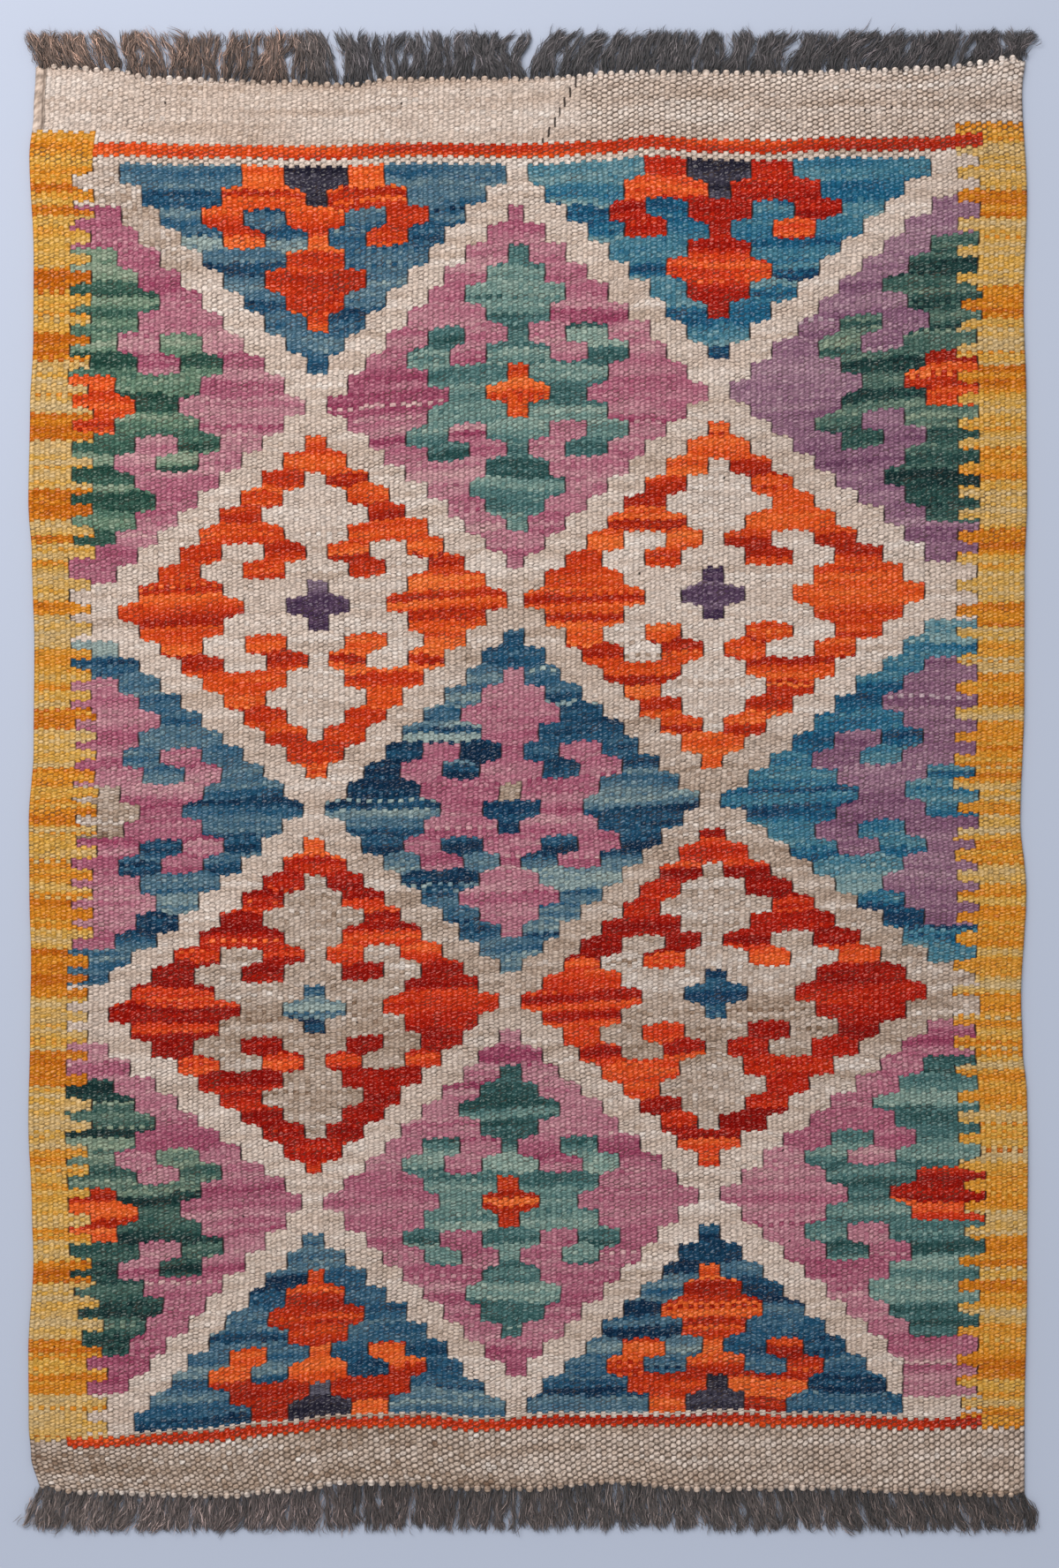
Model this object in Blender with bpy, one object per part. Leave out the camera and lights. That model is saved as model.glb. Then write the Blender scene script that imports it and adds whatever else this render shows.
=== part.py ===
"""A flat-woven wool kilim rug of 60 x 90 cm, lying flat with a warp fringe at both ends.

X runs across the rug, Y along its warps and Z up, in metres. The origin is on the floor
under the middle of the rug. The far end is at +Y and the near end at -Y.
"""

import math
import random
from collections import namedtuple

import bmesh
import bpy

MM = 0.001

# Driving dimensions
RUG_WIDTH = 600 * MM          # where the selvedges stand furthest out
RUG_LENGTH = 900 * MM         # over both fringes, which are trimmed to a straight line
CLOTH_LENGTH = 847 * MM       # woven part, before the wander of its ends
CLOTH_THICKNESS = 3 * MM      # heavy two-ply warps with the wefts beaten down over them
LIP_DROP = -1.8 * MM          # the most that a rounded edge or corner falls below the top
PIECE_GAP = 0.3 * MM          # between the cloth's end and the roots of the fringe

# The pattern is woven in cells of four warps, and each fringe lock holds two warps.
CELLS_ACROSS = 47
LOCKS_PER_CELL = 2
FIELD_COURSES = 32            # lines of points along the patterned field

# Fringe
ROOT_STRIP_DEPTH = 2.2 * MM   # row of warp ends twisted together along the last weft
ROOT_STRIP_HEIGHT = 2.4 * MM
LOCK_ROOT_SHARE = 0.76        # share of a lock's pitch that its root takes
LOCK_TIP_WIDTH = 2.7 * MM
LOCK_TIP_HEIGHT = 1.3 * MM
LOCK_TOP_SHARE = 0.6          # width of a lock's top over its width on the floor
LOCK_STEPS = 3
LOCK_SHORTFALL = 0.16         # the shortest locks end this share before the trimmed line
LOCK_STRAY = 1.0 * MM         # how far a tip strays sideways from its neighbours' lean
FRINGE_SPLAY = 5 * MM         # how far the corner locks reach past the selvedges

# Outline. The selvedges draw in and the ends wander, all in millimetres.
SelvedgeRow = namedtuple("SelvedgeRow", "y drawn_in")
LEFT_SELVEDGE = [
    SelvedgeRow(*row)
    for row in (
        (-427, 7.4), (-405, 1.6), (-385, 0.2), (-342, 0.0), (-288, 3.0), (-257, 2.1),
        (-205, 0.0), (-150, 1.0), (-108, 1.6), (-66, 0.6), (-25, 0.2), (20, 3.2),
        (80, 3.6), (135, 2.1), (167, 0.0), (225, 1.0), (265, 3.0), (315, 3.2),
        (375, 0.6), (400, 3.2), (428, 4.5),
    )
]
RIGHT_SELVEDGE = [
    SelvedgeRow(*row)
    for row in (
        (-427, 2.1), (-384, 2.1), (-300, 0.5), (-215, 0.0), (-190, 0.6), (-160, 3.2),
        (-130, 4.2), (-66, 1.0), (-24, 4.6), (50, 2.2), (125, 2.1), (167, 0.5),
        (230, 1.0), (285, 2.6), (350, 0.6), (415, 3.6), (434, 1.6),
    )
]

EndRow = namedtuple("EndRow", "x outward")
FAR_END = [
    EndRow(*row)
    for row in (
        (-296, 4.2), (-252, 1.8), (-230, -2.8), (-150, -5.4), (-110, -7.0), (-84, -3.4),
        (-4, -3.4), (64, 0.7), (152, 0.2), (218, 2.4), (245, 3.0), (276, 6.6),
        (290, 10.0), (299, 8.4),
    )
]
NEAR_END = [
    EndRow(*row)
    for row in (
        (-293, -0.5), (-278, 2.1), (-185, 4.2), (-150, 1.1), (-111, -3.6), (-79, -3.6),
        (-42, 0.0), (-4, -0.2), (44, -4.0), (64, -3.6), (90, 0.0), (186, -0.5),
        (220, 1.6), (298, 3.6),
    )
]

# A twined line of thick yarn closes each end of the pattern.
FAR_TWINE_Y = 380.5 * MM
NEAR_TWINE_Y = -385.5 * MM
TWINE_REACH = 266 * MM        # it stops at the side borders, this far from the middle
TwineRow = namedtuple("TwineRow", "x wander")
FAR_TWINE = [
    TwineRow(*row)
    for row in (
        (-260, -1.0), (-205, -2.0), (-135, -3.1), (-60, -1.0), (0, -1.6), (45, 0.4),
        (75, 3.6), (110, 1.3), (155, 1.0), (195, 2.4), (245, 2.0), (270, 5.0),
    )
]
NEAR_TWINE = [
    TwineRow(*row)
    for row in (
        (-272, -10.6), (-205, -7.6), (-150, -2.8), (-112, 1.4), (-60, 2.4), (-31, 0.0),
        (22, 2.6), (75, 3.0), (130, 4.0), (155, 2.4), (190, 2.8), (245, 0.4), (270, 2.0),
    )
]

# Relief of the top over the cloth's thickness, in millimetres.
RibRow = namedtuple("RibRow", "inset rise")
SELVEDGE_RIBS = [             # outer cord, then two ribs of doubled warps
    RibRow(*row)
    for row in (
        (0.0, -1.6), (1.0, 0.1), (2.4, 0.6), (4.0, 0.2), (5.2, -0.3), (6.7, 0.2),
        (8.2, -0.3), (9.7, 0.2), (11.2, -0.2),
    )
]
CourseRow = namedtuple("CourseRow", "off rise")
END_BAND_COURSES = [          # off the cloth's end: its rounded lip, then the plain band
    CourseRow(*row) for row in ((0.0, -1.2), (1.3, -0.1), (10.0, 0.0), (20.0, 0.0))
]
FAR_TWINE_COURSES = [         # off the line's middle: two rows of twining side by side
    CourseRow(*row)
    for row in ((-4.6, 0.0), (-3.8, 0.0), (-2.1, 0.6), (0.0, 0.2), (2.1, 0.6), (3.8, 0.0))
]
NEAR_TWINE_COURSES = [        # one thicker row
    CourseRow(*row)
    for row in ((-3.8, 0.0), (-3.0, 0.0), (-1.2, 0.6), (1.2, 0.6), (3.0, 0.0))
]

Cockle = namedtuple("Cockle", "rise waves_across waves_along phase")
COCKLES = [                   # slow swells left by uneven weft tension
    Cockle(*row)
    for row in ((0.16, 1.7, 2.3, 0.4), (0.12, 3.1, 4.2, 2.1), (0.08, 5.3, 7.4, 4.4))
]

# Lean of the fringe in degrees, positive towards +X.
LeanRow = namedtuple("LeanRow", "x lean")
FAR_LEAN = [
    LeanRow(*row)
    for row in (
        (-296, -18), (-286, -24), (-262, -22), (-246, -13), (-228, -14), (-200, -2),
        (-172, 6), (-128, -6), (-95, -2), (-60, 4), (-10, -3), (6, 25), (40, 17),
        (110, 12), (160, 20), (215, 28), (250, 22), (285, 20), (299, 20),
    )
]
NEAR_LEAN = [
    LeanRow(*row)
    for row in (
        (-296, -20), (-283, -13), (-230, -16), (-160, -8), (-110, 0), (-54, 1),
        (-28, -4), (60, 3), (110, 12), (190, 16), (262, 20), (299, 20),
    )
]

MaterialRow = namedtuple("MaterialRow", "name colour roughness")
CLOTH_MATERIAL = MaterialRow("wool_wefts", (0.42, 0.20, 0.13), 0.92)
FAR_FRINGE_MATERIAL = MaterialRow("far_warp_wool", (0.075, 0.058, 0.052), 0.95)
NEAR_FRINGE_MATERIAL = MaterialRow("near_warp_wool", (0.095, 0.072, 0.064), 0.95)


def read_table(rows, at):
    """Second column of a table at a place in its first, eased from row to row."""
    if at <= rows[0][0]:
        return rows[0][1]
    for before, after in zip(rows, rows[1:]):
        if at <= after[0]:
            share = (at - before[0]) / (after[0] - before[0])
            eased = share * share * (3 - 2 * share)
            return before[1] + (after[1] - before[1]) * eased
    return rows[-1][1]


def mix(low, high, share):
    return low + (high - low) * share


def cell_edge(cell):
    """Nominal X of the left edge of a pattern cell."""
    return mix(-RUG_WIDTH / 2, RUG_WIDTH / 2, cell / CELLS_ACROSS)


def across_cells(rows, x):
    """A table in millimetres, read at the cell edges and straight between them."""
    place = (x / RUG_WIDTH + 0.5) * CELLS_ACROSS
    cell = min(max(math.floor(place), 0), CELLS_ACROSS - 1)
    here = read_table(rows, cell_edge(cell) / MM)
    there = read_table(rows, cell_edge(cell + 1) / MM)
    return mix(here, there, place - cell) * MM


def left_edge(y):
    return -RUG_WIDTH / 2 + read_table(LEFT_SELVEDGE, y / MM) * MM


def right_edge(y):
    return RUG_WIDTH / 2 - read_table(RIGHT_SELVEDGE, y / MM) * MM


def between_selvedges(x, y):
    """Place a nominal X between the two selvedges at that height of the rug."""
    return mix(left_edge(y), right_edge(y), x / RUG_WIDTH + 0.5)


def far_end(x):
    return CLOTH_LENGTH / 2 + across_cells(FAR_END, x)


def near_end(x):
    return -CLOTH_LENGTH / 2 - across_cells(NEAR_END, x)


def far_twine(x):
    return FAR_TWINE_Y + across_cells(FAR_TWINE, x)


def near_twine(x):
    return NEAR_TWINE_Y + across_cells(NEAR_TWINE, x)


def beside(line, off):
    """The line that runs a little further along the rug than another."""
    return lambda x: line(x) + off * MM


def between(start, end, share):
    return lambda x: mix(start(x), end(x), share)


def course_lines():
    """Lines of points across the cloth, near end first, as (Y at a nominal X, rise)."""
    near = [(near_end, row) for row in END_BAND_COURSES]
    near += [(near_twine, row) for row in NEAR_TWINE_COURSES]
    far = [(far_twine, row) for row in FAR_TWINE_COURSES]
    far += [(far_end, row._replace(off=-row.off)) for row in reversed(END_BAND_COURSES)]
    near = [(beside(line, row.off), row.rise * MM) for line, row in near]
    far = [(beside(line, row.off), row.rise * MM) for line, row in far]
    field = [
        (between(near[-1][0], far[0][0], course / FIELD_COURSES), 0.0)
        for course in range(1, FIELD_COURSES)
    ]
    return near + field + far


def warp_columns():
    """Each column of points along the cloth, left first: nominal X and its rise."""
    left = [(-RUG_WIDTH / 2 + row.inset * MM, row.rise * MM) for row in SELVEDGE_RIBS]
    right = [(-x, rise) for x, rise in reversed(left)]
    field = [(cell_edge(cell), 0.0) for cell in range(1, CELLS_ACROSS)]
    return left + field + right


def cockle(x, y):
    return MM * sum(
        wave.rise
        * math.sin(
            math.tau * (wave.waves_across * x / RUG_WIDTH + wave.waves_along * y / CLOTH_LENGTH)
            + wave.phase
        )
        for wave in COCKLES
    )


def grid_indices(bm, columns, rows):
    """Points of a fresh grid as (vertex, column, row)."""
    return [
        (
            vert,
            round((vert.co.x + 1) / 2 * (columns - 1)),
            round((vert.co.y + 1) / 2 * (rows - 1)),
        )
        for vert in bm.verts
    ]


def close_down_to_floor(bm):
    """Give a sheet its walls and its flat underside on the floor."""
    top = list(bm.faces)
    grown = bmesh.ops.extrude_face_region(bm, geom=top, use_keep_orig=True)["geom"]
    for vert in (part for part in grown if isinstance(part, bmesh.types.BMVert)):
        vert.co.z = 0
    underside = [part for part in grown if isinstance(part, bmesh.types.BMFace)]
    bmesh.ops.recalc_face_normals(bm, faces=bm.faces)
    return underside


def finish(bm, name, material, collection):
    mesh = bpy.data.meshes.new(name)
    bm.to_mesh(mesh)
    bm.free()
    wool = bpy.data.materials.new(material.name)
    wool.use_nodes = True
    wool.diffuse_color = (*material.colour, 1)
    shader = wool.node_tree.nodes["Principled BSDF"]
    shader.inputs["Base Color"].default_value = (*material.colour, 1)
    shader.inputs["Roughness"].default_value = material.roughness
    shader.inputs["Metallic"].default_value = 0
    mesh.materials.append(wool)
    piece = bpy.data.objects.new(name, mesh)
    collection.objects.link(piece)
    return piece


def make_cloth(collection):
    """The woven cloth with its selvedge cords, end bands and twined lines."""
    columns = warp_columns()
    courses = course_lines()
    bm = bmesh.new()
    bmesh.ops.create_grid(
        bm, x_segments=len(columns) - 1, y_segments=len(courses) - 1, size=1
    )
    for vert, column, row in grid_indices(bm, len(columns), len(courses)):
        nominal_x, rib = columns[column]
        line, rise = courses[row]
        if abs(nominal_x) > TWINE_REACH:
            rise = min(rise, 0)
        y = line(nominal_x)
        x = between_selvedges(nominal_x, y)
        vert.co = (x, y, CLOTH_THICKNESS + max(rib + rise, LIP_DROP) + cockle(x, y))
    underside = close_down_to_floor(bm)
    bmesh.ops.dissolve_faces(bm, faces=underside, use_verts=False)
    return finish(bm, "cloth", CLOTH_MATERIAL, collection)


def strip_columns():
    """Nominal X along the root strip, with the lock that starts there, or None."""
    pitch = RUG_WIDTH / CELLS_ACROSS / LOCKS_PER_CELL
    bare = pitch * (1 - LOCK_ROOT_SHARE) / 2
    columns = []
    for cell in range(CELLS_ACROSS):
        columns.append((cell_edge(cell), None))
        for place in range(LOCKS_PER_CELL):
            start = cell_edge(cell) + place * pitch + bare
            columns.append((start, cell * LOCKS_PER_CELL + place))
            columns.append((start + pitch * LOCK_ROOT_SHARE, None))
    columns.append((RUG_WIDTH / 2, None))
    return columns


def make_fringe(name, end, end_line, lean_rows, material, seed, collection):
    """Warp locks in one root strip, trimmed level; end is 1 at the far end, -1 at the near."""
    rng = random.Random(seed)
    columns = strip_columns()
    bm = bmesh.new()
    bmesh.ops.create_grid(bm, x_segments=len(columns) - 1, y_segments=1, size=1)
    for vert, column, row in grid_indices(bm, len(columns), 2):
        nominal_x = columns[column][0]
        y = end_line(nominal_x) + end * (PIECE_GAP + row * ROOT_STRIP_DEPTH)
        vert.co = (between_selvedges(nominal_x, y), y, ROOT_STRIP_HEIGHT)
    close_down_to_floor(bm)

    starts = sorted(
        (face for face in bm.faces if face.normal.y * end > 0.7 and is_lock_root(face)),
        key=lambda face: face.calc_center_median().x,
    )
    locks = [lock_path(face, end, lean_rows, rng) for face in starts]
    for step in range(1, LOCK_STEPS + 1):
        grown = bmesh.ops.extrude_discrete_faces(bm, faces=starts)["faces"]
        starts = sorted(grown, key=lambda face: face.calc_center_median().x)
        for face, path in zip(starts, locks):
            shape_lock_end(face, path, step / LOCK_STEPS)
    bmesh.ops.recalc_face_normals(bm, faces=bm.faces)
    return finish(bm, name, material, collection)


def is_lock_root(face):
    """True for a stretch of the front wall that is as wide as a lock's root."""
    pitch = RUG_WIDTH / CELLS_ACROSS / LOCKS_PER_CELL
    across = [vert.co.x for vert in face.verts]
    return max(across) - min(across) > pitch * LOCK_ROOT_SHARE * 0.8


LockPath = namedtuple("LockPath", "root_x root_y root_width tip_x tip_y")


def lock_path(face, end, lean_rows, rng):
    """Where a lock leaves its root and where its tip lies."""
    middle = face.calc_center_median()
    across = [vert.co.x for vert in face.verts]
    reach = (RUG_LENGTH / 2 - abs(middle.y)) * (1 - LOCK_SHORTFALL * rng.random() ** 2)
    lean = math.radians(read_table(lean_rows, middle.x / MM))
    tip_x = middle.x + reach * math.tan(lean) + rng.uniform(-LOCK_STRAY, LOCK_STRAY)
    widest = RUG_WIDTH / 2 + FRINGE_SPLAY - LOCK_TIP_WIDTH / 2
    return LockPath(
        root_x=middle.x,
        root_y=middle.y,
        root_width=max(across) - min(across),
        tip_x=min(max(tip_x, -widest), widest),
        tip_y=middle.y + end * reach,
    )


def shape_lock_end(face, path, share):
    """Bring the newest end of a lock to its place: wide and flat on the floor, narrower above."""
    x = mix(path.root_x, path.tip_x, share ** 1.25)
    y = mix(path.root_y, path.tip_y, share)
    width = mix(path.root_width, LOCK_TIP_WIDTH, share)
    height = mix(ROOT_STRIP_HEIGHT, LOCK_TIP_HEIGHT, share)
    by_height = sorted(face.verts, key=lambda vert: vert.co.z)
    for pair, z, spread in ((by_height[:2], 0, 1), (by_height[2:], height, LOCK_TOP_SHARE)):
        for vert, side in zip(sorted(pair, key=lambda vert: vert.co.x), (-0.5, 0.5)):
            vert.co = (x + side * width * spread, y, z)


def main():
    for old in list(bpy.data.objects):
        bpy.data.objects.remove(old, do_unlink=True)
    collection = bpy.data.collections.new("kilim_rug")
    bpy.context.scene.collection.children.link(collection)
    make_cloth(collection)
    make_fringe("fringe_far", 1, far_end, FAR_LEAN, FAR_FRINGE_MATERIAL, 11, collection)
    make_fringe("fringe_near", -1, near_end, NEAR_LEAN, NEAR_FRINGE_MATERIAL, 12, collection)


main()
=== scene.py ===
"""A flat-woven wool kilim rug of 60 x 90 cm, laid flat and seen from straight above."""

import math

import bmesh
import bpy
import numpy as np
from mathutils import Matrix, Vector


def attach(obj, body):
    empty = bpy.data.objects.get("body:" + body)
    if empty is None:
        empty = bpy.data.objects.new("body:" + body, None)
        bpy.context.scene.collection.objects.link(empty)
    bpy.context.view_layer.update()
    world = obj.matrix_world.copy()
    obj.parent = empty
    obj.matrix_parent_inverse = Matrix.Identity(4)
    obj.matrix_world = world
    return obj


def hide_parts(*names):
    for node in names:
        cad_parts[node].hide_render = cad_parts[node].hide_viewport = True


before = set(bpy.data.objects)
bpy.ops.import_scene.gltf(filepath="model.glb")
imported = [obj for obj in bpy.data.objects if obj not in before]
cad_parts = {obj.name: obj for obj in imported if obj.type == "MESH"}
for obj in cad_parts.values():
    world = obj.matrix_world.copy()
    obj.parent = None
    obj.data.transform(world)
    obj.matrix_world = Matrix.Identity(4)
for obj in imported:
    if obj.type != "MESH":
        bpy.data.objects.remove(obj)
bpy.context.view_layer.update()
MM = 0.001


# ---- Floor, light and camera -----------------------------------------------------------
# A plain pale floor under soft daylight that comes in from the upper left, and a camera
# straight above the rug that takes in 636 x 941 mm of the floor.
PICTURE_HEIGHT = 941.3 * MM   # the photograph's 1776 px at 0.53 mm each
PICTURE_MIDDLE = (0.8 * MM, -1.6 * MM)
LONG_SIDE_SENSOR = 36
LENS = 85
FLOOR_SIZE = 8.0
FLOOR_COLOUR = (0.450, 0.480, 0.575, 1)
CLOUD_SCALE = 1.5
CLOUDING = 0.06               # of the paint's colour, from its palest place to its darkest
WINDOW_SIZE = (1.3, 1.0)
WINDOW_PLACE = (-0.9, 1.25, 1.5)
WINDOW_TURN = (math.radians(-40), math.radians(-28), 0)
WINDOW_POWER = 30
SKY_COLOUR = (0.90, 0.95, 1.0, 1)
SKY_STRENGTH = 0.72

camera = bpy.data.objects.new("camera", bpy.data.cameras.new("camera"))
camera.data.lens = LENS
camera.data.sensor_width = LONG_SIDE_SENSOR
camera.location = (*PICTURE_MIDDLE, PICTURE_HEIGHT * LENS / LONG_SIDE_SENSOR)
bpy.context.scene.collection.objects.link(camera)
bpy.context.scene.camera = camera
bpy.context.scene.view_settings.view_transform = "Standard"

window = bpy.data.objects.new("window_light", bpy.data.lights.new("window_light", "AREA"))
window.data.shape = "RECTANGLE"
window.data.size, window.data.size_y = WINDOW_SIZE
window.data.energy = WINDOW_POWER
window.location = WINDOW_PLACE
window.rotation_euler = WINDOW_TURN
bpy.context.scene.collection.objects.link(window)

room = bpy.data.worlds.new("room")
room.use_nodes = True
sky = room.node_tree.nodes["Background"]
sky.inputs["Color"].default_value = SKY_COLOUR
sky.inputs["Strength"].default_value = SKY_STRENGTH
bpy.context.scene.world = room


def new_material(name, roughness):
    """A material, its node tree and its shader, ready for a finish."""
    material = bpy.data.materials.new(name)
    material.use_nodes = True
    shader = material.node_tree.nodes["Principled BSDF"]
    shader.inputs["Roughness"].default_value = roughness
    return material, material.node_tree, shader


def feed(tree, socket, value):
    """Give a socket a plain value or the output of another node."""
    if isinstance(value, bpy.types.NodeSocket):
        tree.links.new(value, socket)
    else:
        socket.default_value = value


def worked(tree, operation, *values):
    """The output of a Math node on sockets or plain numbers."""
    node = tree.nodes.new("ShaderNodeMath")
    node.operation = operation
    for socket, value in zip(node.inputs, values):
        feed(tree, socket, value)
    return node.outputs[0]


def line_of(tree, value, slope, start):
    """A value times a slope, plus a start."""
    return worked(tree, "MULTIPLY_ADD", value, slope, start)


def eased_step(tree, value, low, high):
    """0 below low, 1 above high and a smooth rise between them."""
    node = tree.nodes.new("ShaderNodeMapRange")
    node.interpolation_type = "SMOOTHSTEP"
    feed(tree, node.inputs["Value"], value)
    feed(tree, node.inputs["From Min"], low)
    feed(tree, node.inputs["From Max"], high)
    return node.outputs["Result"]


def noise(tree, vector, scale, detail=2.0):
    """The grey value of a noise texture over a vector."""
    node = tree.nodes.new("ShaderNodeTexNoise")
    node.inputs["Scale"].default_value = scale
    node.inputs["Detail"].default_value = detail
    tree.links.new(vector, node.inputs["Vector"])
    return node.outputs["Fac"]


def tinted(tree, colour, factor):
    """A colour made lighter or darker by a grey factor."""
    node = tree.nodes.new("ShaderNodeVectorMath")
    node.operation = "SCALE"
    feed(tree, node.inputs[0], colour)
    feed(tree, node.inputs["Scale"], factor)
    return node.outputs[0]


paint, tree, shader = new_material("floor_paint", 0.6)
places = tree.nodes.new("ShaderNodeTexCoord").outputs["Object"]
cloudy = line_of(tree, noise(tree, places, CLOUD_SCALE), CLOUDING, 1 - CLOUDING / 2)
plain = tree.nodes.new("ShaderNodeRGB")
plain.outputs[0].default_value = FLOOR_COLOUR
tree.links.new(tinted(tree, plain.outputs[0], cloudy), shader.inputs["Base Color"])

bm = bmesh.new()
bmesh.ops.create_grid(bm, x_segments=4, y_segments=4, size=FLOOR_SIZE / 2)
floor_mesh = bpy.data.meshes.new("floor")
bm.to_mesh(floor_mesh)
bm.free()
floor_mesh.materials.append(paint)
floor = bpy.data.objects.new("floor", floor_mesh)
bpy.context.scene.collection.objects.link(floor)


# ---- Warps -----------------------------------------------------------------------------
# 188 heavy two-ply brown wool yarns run along the rug, four to a cell of the pattern. The
# wefts hide them, but they set every width, and the outermost draw in unevenly.
RUG_WIDTH = 600 * MM
CELLS = 47
WARPS_PER_CELL = 4
WARPS = CELLS * WARPS_PER_CELL
BORDER_CELLS = 3              # two of plain gold and one of teeth, at each side

LEFT_SELVEDGE = (             # Y and how far the edge draws in, in mm
    (-427, 7.4), (-405, 1.6), (-385, 0.2), (-342, 0.0), (-288, 3.0), (-257, 2.1),
    (-205, 0.0), (-150, 1.0), (-108, 1.6), (-66, 0.6), (-25, 0.2), (20, 3.2),
    (80, 3.6), (135, 2.1), (167, 0.0), (225, 1.0), (265, 3.0), (315, 3.2),
    (375, 0.6), (400, 3.2), (428, 4.5),
)
RIGHT_SELVEDGE = (
    (-427, 2.1), (-384, 2.1), (-300, 0.5), (-215, 0.0), (-190, 0.6), (-160, 3.2),
    (-130, 4.2), (-66, 1.0), (-24, 4.6), (50, 2.2), (125, 2.1), (167, 0.5),
    (230, 1.0), (285, 2.6), (350, 0.6), (415, 3.6), (434, 1.6),
)
# Where the pattern lies across the warps at the rows through the middles of its diamonds:
# the inner edge of the plain gold, the middle of every tenth column, and the gold again.
# The marks are those middles, counted in warps.
COLUMN_MARKS = tuple(WARPS_PER_CELL * (BORDER_CELLS + tenth + 0.5) for tenth in range(0, 41, 10))
PATTERN_LINES = (             # pattern row, then X in mm at each of them
    (0, -273, -251, -127, -7, 113, 248, 270),
    (11, -275, -254, -127, -6, 114, 246, 271),
    (22, -274, -254, -126, -8, 111, 245, 270),
    (33, -272, -250, -128, -11, 110, 245, 269),
    (44, -276, -258, -128, -11, 112, 246, 269),
    (55, -276, -253, -128, -11, 108, 238, 273),
    (66, -264, -243, -125, -8, 113, 232, 271),
)


def eased(rows, at, column=1):
    """A column of a table at places in its first one, eased from row to row."""
    numbers = np.array(rows, float)
    places = numbers[:, 0]
    values = numbers[:, column]
    at = np.clip(at, places[0], places[-1])
    row = np.clip(np.searchsorted(places, at, side="right") - 1, 0, len(places) - 2)
    share = (at - places[row]) / (places[row + 1] - places[row])
    return values[row] + (values[row + 1] - values[row]) * share * share * (3 - 2 * share)


def between_lines(marks, lines, at):
    """Places among lines that have these marks, straight from each line to the next."""
    place = lines[0]
    for start, end, low, high in zip(lines, lines[1:], marks, marks[1:]):
        place = place + (end - start) * np.clip((at - low) / (high - low), 0, 1)
    return place


def smooth_noise(seed, across, along, across_step, along_step):
    """Random values from 0 to 1 that change smoothly over these numbers of warps and wefts."""
    across = across / across_step
    along = along / along_step
    left = np.floor(across).astype(int)
    low = np.floor(along).astype(int)
    table = np.random.default_rng(seed).random((low.max() + 2, left.max() + 2))
    share_x = across - left
    share_y = along - low
    share_x = share_x * share_x * (3 - 2 * share_x)
    share_y = share_y * share_y * (3 - 2 * share_y)
    under = table[low, left] * (1 - share_x) + table[low, left + 1] * share_x
    over = table[low + 1, left] * (1 - share_x) + table[low + 1, left + 1] * share_x
    return under * (1 - share_y) + over * share_y


# ---- Wefts -----------------------------------------------------------------------------
# 732 passes of softer single-ply wool, beaten down until they cover the warps. Counted
# from the near end: a cream band, an orange line, the field, another line and band, with
# a few cream passes between each line and the field.
PASSES = 732
NEAR_BAND_TOP = 20            # this and the next ones are the passes where each part ends
NEAR_LINE_TOP = 24
FIELD_NEAR = 26
PASSES_PER_ROW = 10
ROWS = 67
FIELD_FAR = FIELD_NEAR + ROWS * PASSES_PER_ROW
FAR_LINE_FOOT = 700
FAR_LINE_TOP = 706

CLOTH_LENGTH = 847 * MM
FAR_END = (                   # X and how far the end stands out, in mm
    (-296, 4.2), (-252, 1.8), (-230, -2.8), (-150, -5.4), (-110, -7.0), (-84, -3.4),
    (-4, -3.4), (64, 0.7), (152, 0.2), (218, 2.4), (245, 3.0), (276, 6.6),
    (290, 10.0), (299, 8.4),
)
NEAR_END = (
    (-293, -0.5), (-278, 2.1), (-185, 4.2), (-150, 1.1), (-111, -3.6), (-79, -3.6),
    (-42, 0.0), (-4, -0.2), (44, -4.0), (64, -3.6), (90, 0.0), (186, -0.5),
    (220, 1.6), (298, 3.6),
)
FAR_LINE_Y = 380.5 * MM
NEAR_LINE_Y = -385.5 * MM
FAR_LINE = (                  # X and the wander of the orange line, in mm
    (-260, -1.0), (-205, -2.0), (-135, -3.1), (-60, -1.0), (0, -1.6), (45, 0.4),
    (75, 3.6), (110, 1.3), (155, 1.0), (195, 2.4), (245, 2.0), (270, 5.0),
)
NEAR_LINE = (
    (-272, -10.6), (-205, -7.6), (-150, -2.8), (-112, 1.4), (-60, 2.4), (-31, 0.0),
    (22, 2.6), (75, 3.0), (130, 4.0), (155, 2.4), (190, 2.8), (245, 0.4), (270, 2.0),
)
FAR_LINE_HALF = 3.8 * MM
NEAR_LINE_HALF = 3.0 * MM
FAR_CREAM_GAP = 5.8 * MM      # cream passes between the far line and the field
NEAR_CREAM_GAP = 1.0 * MM
WEFT_LINES = (                # pattern row, then Y in mm at its columns 0, 10 ... 40
    (55, -260, -253, -252, -249, -247),
    (44, -140, -137, -132, -127, -126),
    (33, -19, -17, -17, -11, -6),
    (22, 100, 105, 109, 112, 113),
    (11, 224, 224, 233, 233, 242),
)


def pattern_row(weft):
    """The row of the pattern at a pass, 0 at the middle of the farthest row."""
    return (FIELD_FAR - weft) / PASSES_PER_ROW - 0.5


def left_edge(y):
    """X of the left selvedge."""
    return -RUG_WIDTH / 2 + eased(LEFT_SELVEDGE, y / MM) * MM


def right_edge(y):
    """X of the right selvedge."""
    return RUG_WIDTH / 2 - eased(RIGHT_SELVEDGE, y / MM) * MM


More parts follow.
